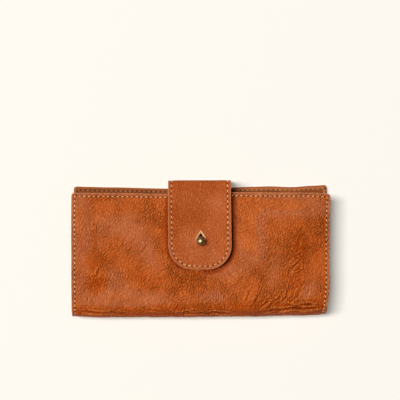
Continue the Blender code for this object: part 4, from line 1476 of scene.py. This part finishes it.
def make_zip():
    """Separate teeth that interlock along the middle, on the two woven tapes."""
    boxes = {side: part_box(f"zip_teeth_{side}") for side in ("rear", "front")}
    middle = (boxes["rear"][1].z + boxes["front"][0].z) / 2
    pitch = 2.5 * MM
    for side, sign in (("rear", -1), ("front", 1)):
        low, high = boxes[side]
        y_low, y_high = low.y, high.y
        root_z, tip_z, bead_z = (middle + sign * reach * MM for reach in (1.225, 0.72, 1.75))
        bm = bmesh.new()
        for k in range(int((high.x - low.x) / pitch)):
            x = low.x + (k + 0.5 + sign * 0.25) * pitch
            bar(bm, x, root_z, 0.55 * MM, 0.875 * MM, y_low, y_high, 0.22 * MM)
            bar(bm, x, tip_z, 0.75 * MM, 0.32 * MM, y_low + 0.3 * MM, y_high - 0.3 * MM, 0.2 * MM)
        from_bmesh(f"zip_teeth_{side}_row", bm, *ZIP_METAL, "back", [f"zip_teeth_{side}"])
        bm = bmesh.new()
        x, half_x = (low.x + high.x) / 2, (high.x - low.x) / 2 + 1.5 * MM
        bar(bm, x, bead_z, half_x, 0.45 * MM, y_low - 0.35 * MM, y_low + 0.5 * MM, 0.2 * MM)
        from_bmesh(f"zip_tape_edge_{side}", bm, TAPE, "zip_tape_fabric", "back")
    for name in ("zip_tape_rear", "zip_tape_front"):
        dress(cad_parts[name], TAPE, "zip_tape_fabric")
    for name in ("zip_stop_closed_end", "zip_stop_open_end", "zip_pull_pin"):
        dress(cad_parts[name], *ZIP_METAL)


def make_slider():
    """The slider: a domed plate, lugs that hold the pull, the neck between the tapes, and two flanges."""
    low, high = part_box("zip_slider")
    x, z = (low.x + high.x) / 2, (low.z + high.z) / 2
    half_x, half_z = (high.x - low.x) / 2, (high.z - low.z) / 2
    plate_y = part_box("zip_teeth_rear")[1].y + 0.3 * MM
    dome = 1.2 * MM
    bm = bmesh.new()
    bar(bm, x, z, half_x, half_z, plate_y, plate_y + 1.0 * MM, 0.45 * MM)
    bar(bm, x, z, half_x - dome, half_z - dome, plate_y + 0.7 * MM, plate_y + 1.45 * MM, 0.3 * MM)
    bar(bm, x, z, 2.5 * MM, 0.25 * MM, low.y, plate_y + 0.4 * MM, 0.1 * MM)
    for sign in (-1, 1):
        lug_z, flange_z = z + sign * 2.9 * MM, z + sign * (half_z - 0.35 * MM)
        bar(bm, x, lug_z, 1.3 * MM, 0.4 * MM, plate_y + 0.5 * MM, high.y - 0.25 * MM, 0.25 * MM)
        bar(bm, x, flange_z, half_x - 0.6 * MM, 0.3 * MM, plate_y - 1.5 * MM, plate_y + 0.4 * MM, 0.15 * MM)
    from_bmesh("zip_slider_body", bm, *ZIP_METAL, "zip_slider", ["zip_slider"])
    make_pull(z)


# The pull's sections: distance from its pin, half width and thickness, in millimetres.
PULL_STATIONS = [
    (-0.2, 1.5, 1.1), (-0.9, 1.5, 1.1), (-3.2, 1.5, 1.0), (-6, 1.75, 1.1), (-14, 2.1, 1.25),
    (-19.5, 2.2, 1.25), (-21.4, 1.75, 1.0), (-22, 1.0, 0.6),
]


def make_pull(z):
    """The pull: a tapered tag with rounded sides, and the eye that turns on its pin."""
    pin_low, pin_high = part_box("zip_pull_pin")
    pin = Vector(((pin_low.x + pin_high.x) / 2, (pin_low.y + pin_high.y) / 2, z))
    sides = 16
    bm = bmesh.new()
    rings = []
    for along, half_z, thick in PULL_STATIONS:
        ring = []
        for k in range(sides):
            turn = math.cos(2 * math.pi * k / sides), math.sin(2 * math.pi * k / sides)
            c, s = (math.copysign(abs(part) ** 0.5, part) for part in turn)
            spot = pin + Vector((along, thick / 2 * s, half_z * c)) * MM
            ring.append(bm.verts.new(spot))
        rings.append(ring)
    bm.faces.new(rings[0][::-1])
    bm.faces.new(rings[-1])
    skin(bm, rings)
    from_bmesh("zip_pull_tag", bm, *ZIP_METAL, "zip_pull", ["zip_pull"])
    eye_r = 1.15 * MM
    bm = bmesh.new()
    bmesh.ops.create_cone(bm, cap_ends=True, segments=20, radius1=eye_r, radius2=eye_r, depth=2.6 * MM)
    bmesh.ops.translate(bm, vec=pin, verts=bm.verts)
    edges = [e for e in bm.edges if len(e.link_faces) == 2 and abs(e.calc_face_angle(0)) > 1]
    bmesh.ops.bevel(bm, geom=edges, offset=0.2 * MM, segments=2, affect="EDGES")
    from_bmesh("zip_pull_eye", bm, *ZIP_METAL, "zip_pull")


# ---------------------------------------------------------------- tab


TONGUE_LENGTH = TONGUE_SECTION.walked[-1]
TAB_BASE_LENGTH = TAB_BASE_SECTION.walked[-1]


def tongue_middle(v):
    """The tab is sewn on a little to the left, and points back to the middle."""
    return -0.3 * MM - 0.4 * MM * smooth(v / (60 * MM))


def tongue_left(v):
    return tongue_middle(v) - TAB_HALF_WIDTH + 0.10 * MM * soft_noise(v, 0 * v, 14 * MM, 25)


def tongue_right(v):
    return tongue_middle(v) + TAB_HALF_WIDTH + 0.10 * MM * soft_noise(v, 0 * v, 14 * MM, 26)


def tongue_sag(u, v):
    """The tongue leans down to its tip, curls up at its right side, and rides up over the stud's flange."""
    flat = TAB_TOP_CENTRE[0] - TONGUE_LOW.y
    lean = -0.35 * MM * (1 - smooth(v / flat)) * smooth((12 * MM - u) / (10 * MM))
    right, left = smooth((u - 8 * MM) / (15 * MM)), smooth((-9 * MM - u) / (14 * MM))
    curl = smooth(1.3 - v / flat) * (2.0 * MM * right + 0.3 * MM * left)
    rise = 0.25 * MM * bell(np.hypot(u - STUD_CENTRE.x, TONGUE_LOW.y + v - STUD_CENTRE.y), 9 * MM)
    return lean + rise + curl


def teardrop_outline(grow=0.0, steps=39):
    """The buttonhole in the tongue's flat coordinates: an arc, and two straight sides up to the tip."""
    radius = HOLE_R + grow
    reach = HOLE_TIP + grow * HOLE_TIP / HOLE_R
    x, v = STUD_CENTRE.x, STUD_CENTRE.y + HOLE_OFFSET - TONGUE_LOW.y
    lean = math.degrees(math.acos(radius / reach))
    arc = arc_points((x, v), radius, 90 + lean, 450 - lean, steps)
    tip = (x, v + reach)
    return arc + line_points(arc[-1], tip, 8)[1:] + line_points(tip, arc[0], 8)[1:-1]


def outline_distance(u, v, outline):
    return polyline_distance(u, v, outline + outline[:1])[0]


def tongue_height(u, v, d):
    relief = grain_relief(u, v, 90, 0.28)
    crease = wrinkle(u, v, [(-16.8 * MM, 20 * MM), (-17.2 * MM, 52 * MM)], 0.05 * MM, 0.6 * MM)
    hole = outline_distance(u, v, teardrop_outline())
    pulled = 0.30 * MM * bell(hole, 1.6 * MM) - 0.18 * MM * bell(hole - 3.4 * MM, 1.5 * MM)
    pillow = 0.16 * MM * smooth((d - SEAM_INSET) / (5 * MM))
    return relief + crease + pulled + pillow + seam_groove(d, depth=0.30)


def base_height(u, v, d):
    return grain_relief(u, v + 0.1, 90, 0.2) * smooth(v / (3 * MM))


def tab_hide(section, length, narrower=0.0, width_at=None, **options):
    """One ply of the tab. width_at is the place along the tongue whose width it keeps throughout."""

    def left(v):
        return tongue_left(v if width_at is None else width_at + 0 * v) + narrower

    def right(v):
        return tongue_right(v if width_at is None else width_at + 0 * v) - narrower

    return Hide(section, length, left, right, TAB_PLY, **options)


def make_tab():
    """The tab's outer ply and backing, each in two pieces that meet in the middle of its bridge."""
    outer, backing = (TAB_LEATHER, "tab_leather"), (LINING_LEATHER, "lining_leather")
    narrower = 0.12 * MM
    ply_gap = TAB_PLY + 0.03 * MM
    tongue_shape = {"high_edge": False, "corner_low": TAB_CORNER_R}
    tongue = tab_hide(
        TONGUE_SECTION, TONGUE_LENGTH, height=tongue_height, tone=tongue_tone, sag=tongue_sag,
        round=0.35 * MM, **tongue_shape,
    )
    replaced, hole = ["tab_tongue_outer", "tab_bridge_outer"], teardrop_outline()
    add_hide("tab_tongue_leather", tongue, 0.62 * MM, *outer, replaced, fold="tongue", hole=hole)
    hide = tab_hide(
        TONGUE_SECTION, TONGUE_LENGTH, narrower, sag=lambda u, v: tongue_sag(u, v) - ply_gap,
        round=0.2 * MM, **tongue_shape,
    )
    replaced, hole = ["tab_tongue_lining", "tab_bridge_lining"], teardrop_outline(0.25 * MM)
    add_hide("tab_tongue_backing", hide, 1.4 * MM, *backing, replaced, fold="tongue", hole=hole)

    base_shape = {"width_at": TONGUE_LENGTH, "low_edge": False}
    hide = tab_hide(TAB_BASE_SECTION, TAB_BASE_LENGTH, height=base_height, round=0.35 * MM, **base_shape)
    add_hide("tab_base_leather", hide, 1.0 * MM, *outer, ["tab_root"], fold="tab_base")
    hide = tab_hide(
        TAB_BASE_SECTION, TAB_BASE_LENGTH - 12 * MM, narrower, sag=lambda u, v: 0 * u - ply_gap,
        round=0.2 * MM, **base_shape,
    )
    add_hide("tab_base_backing", hide, 1.4 * MM, *backing, fold="tab_base")

    path = inset_path(tongue, SEAM_INSET, TAB_CORNER_R, TONGUE_LENGTH, "low")
    sew("tab_seam", tongue, path, fold="tongue", replaced=["tab_thread"], pitch=3.8 * MM)
    make_buttonhole_edge(tongue)


def make_buttonhole_edge(tongue):
    """The raw edge of the cut, paler than the face: the stud has pulled it open, most of all at its top."""
    outline = teardrop_outline(0.05 * MM, 55)
    centre_v = STUD_CENTRE.y + HOLE_OFFSET - TONGUE_LOW.y
    bm = bmesh.new()
    rings = []
    for k, (u, v) in enumerate(outline):
        before, after = outline[k - 1], outline[(k + 1) % len(outline)]
        tangent = Vector((after[0] - before[0], after[1] - before[1])).normalized()
        inner = -0.25 - 0.75 * float(smooth((v - centre_v + 1 * MM) / (3 * MM)))
        # The edge's section: out from the cut and up from the face, in millimetres.
        section = [
            (0.34, 0.02), (0.24, 0.16), (0.05, 0.20), (0.35 * inner, 0.02), (0.75 * inner, -0.45),
            (inner, -1.0), (inner, -2.2), (0.1, -2.25), (0.3, -0.6),
        ]
        out, lift = np.array(section).T * MM
        height = tongue.face_height(np.array([u]), np.array([v]))
        places = tongue.wrap(u + tangent.y * out, v - tangent.x * out, height + lift)
        rings.append([bm.verts.new(place) for place in places])
    skin(bm, rings, closed=True)
    from_bmesh("buttonhole_edge", bm, CUT_EDGE, "tab_leather", "tab_tongue", sharp=80)


# ---------------------------------------------------------------- stud


def make_stud():
    """The ball stud, turned finely, with a collar under the ball and a domed flange."""
    ball_r = (STUD_HIGH.x - STUD_LOW.x) / 2
    ball_z = STUD_HIGH.z - ball_r
    neck, flange_r = 1.9 * MM, 2.9 * MM
    profile = arc_points((0, ball_z), ball_r, 90, -math.degrees(math.acos(neck / ball_r)), 25)
    below_ball = (
        (neck * 0.94, 1.3 * MM),
        (neck, 0.75 * MM),
        (neck + 0.3 * MM, 0.52 * MM),
        (flange_r - 0.3 * MM, 0.45 * MM),
        (flange_r, 0.2 * MM),
        (flange_r, 0),
        (0, 0),
    )
    profile += [(radius, STUD_LOW.z + rise) for radius, rise in below_ball]
    bm = bmesh.new()
    rings = []
    for radius, z in profile:
        angles = np.linspace(0, 2 * math.pi, 48, endpoint=False) if radius > 1e-6 else [0.0]
        turned = [Vector((radius * math.cos(a), radius * math.sin(a), z)) for a in angles]
        rings.append([bm.verts.new(STUD_CENTRE + spot) for spot in turned])
    skin(bm, rings)
    from_bmesh("ball_stud", bm, BRASS, "antique_brass", "front", ["stud_ball"])
    dress(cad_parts["stud_screw"], STEEL, "screw_steel")


# ---------------------------------------------------------------- the wallet


def main():
    make_camera()
    make_stage()
    make_covers()
    make_linings()
    make_pockets()
    make_pouch()
    make_spine_lining()
    make_zip()
    make_slider()
    make_tab()
    make_stud()
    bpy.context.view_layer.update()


main()
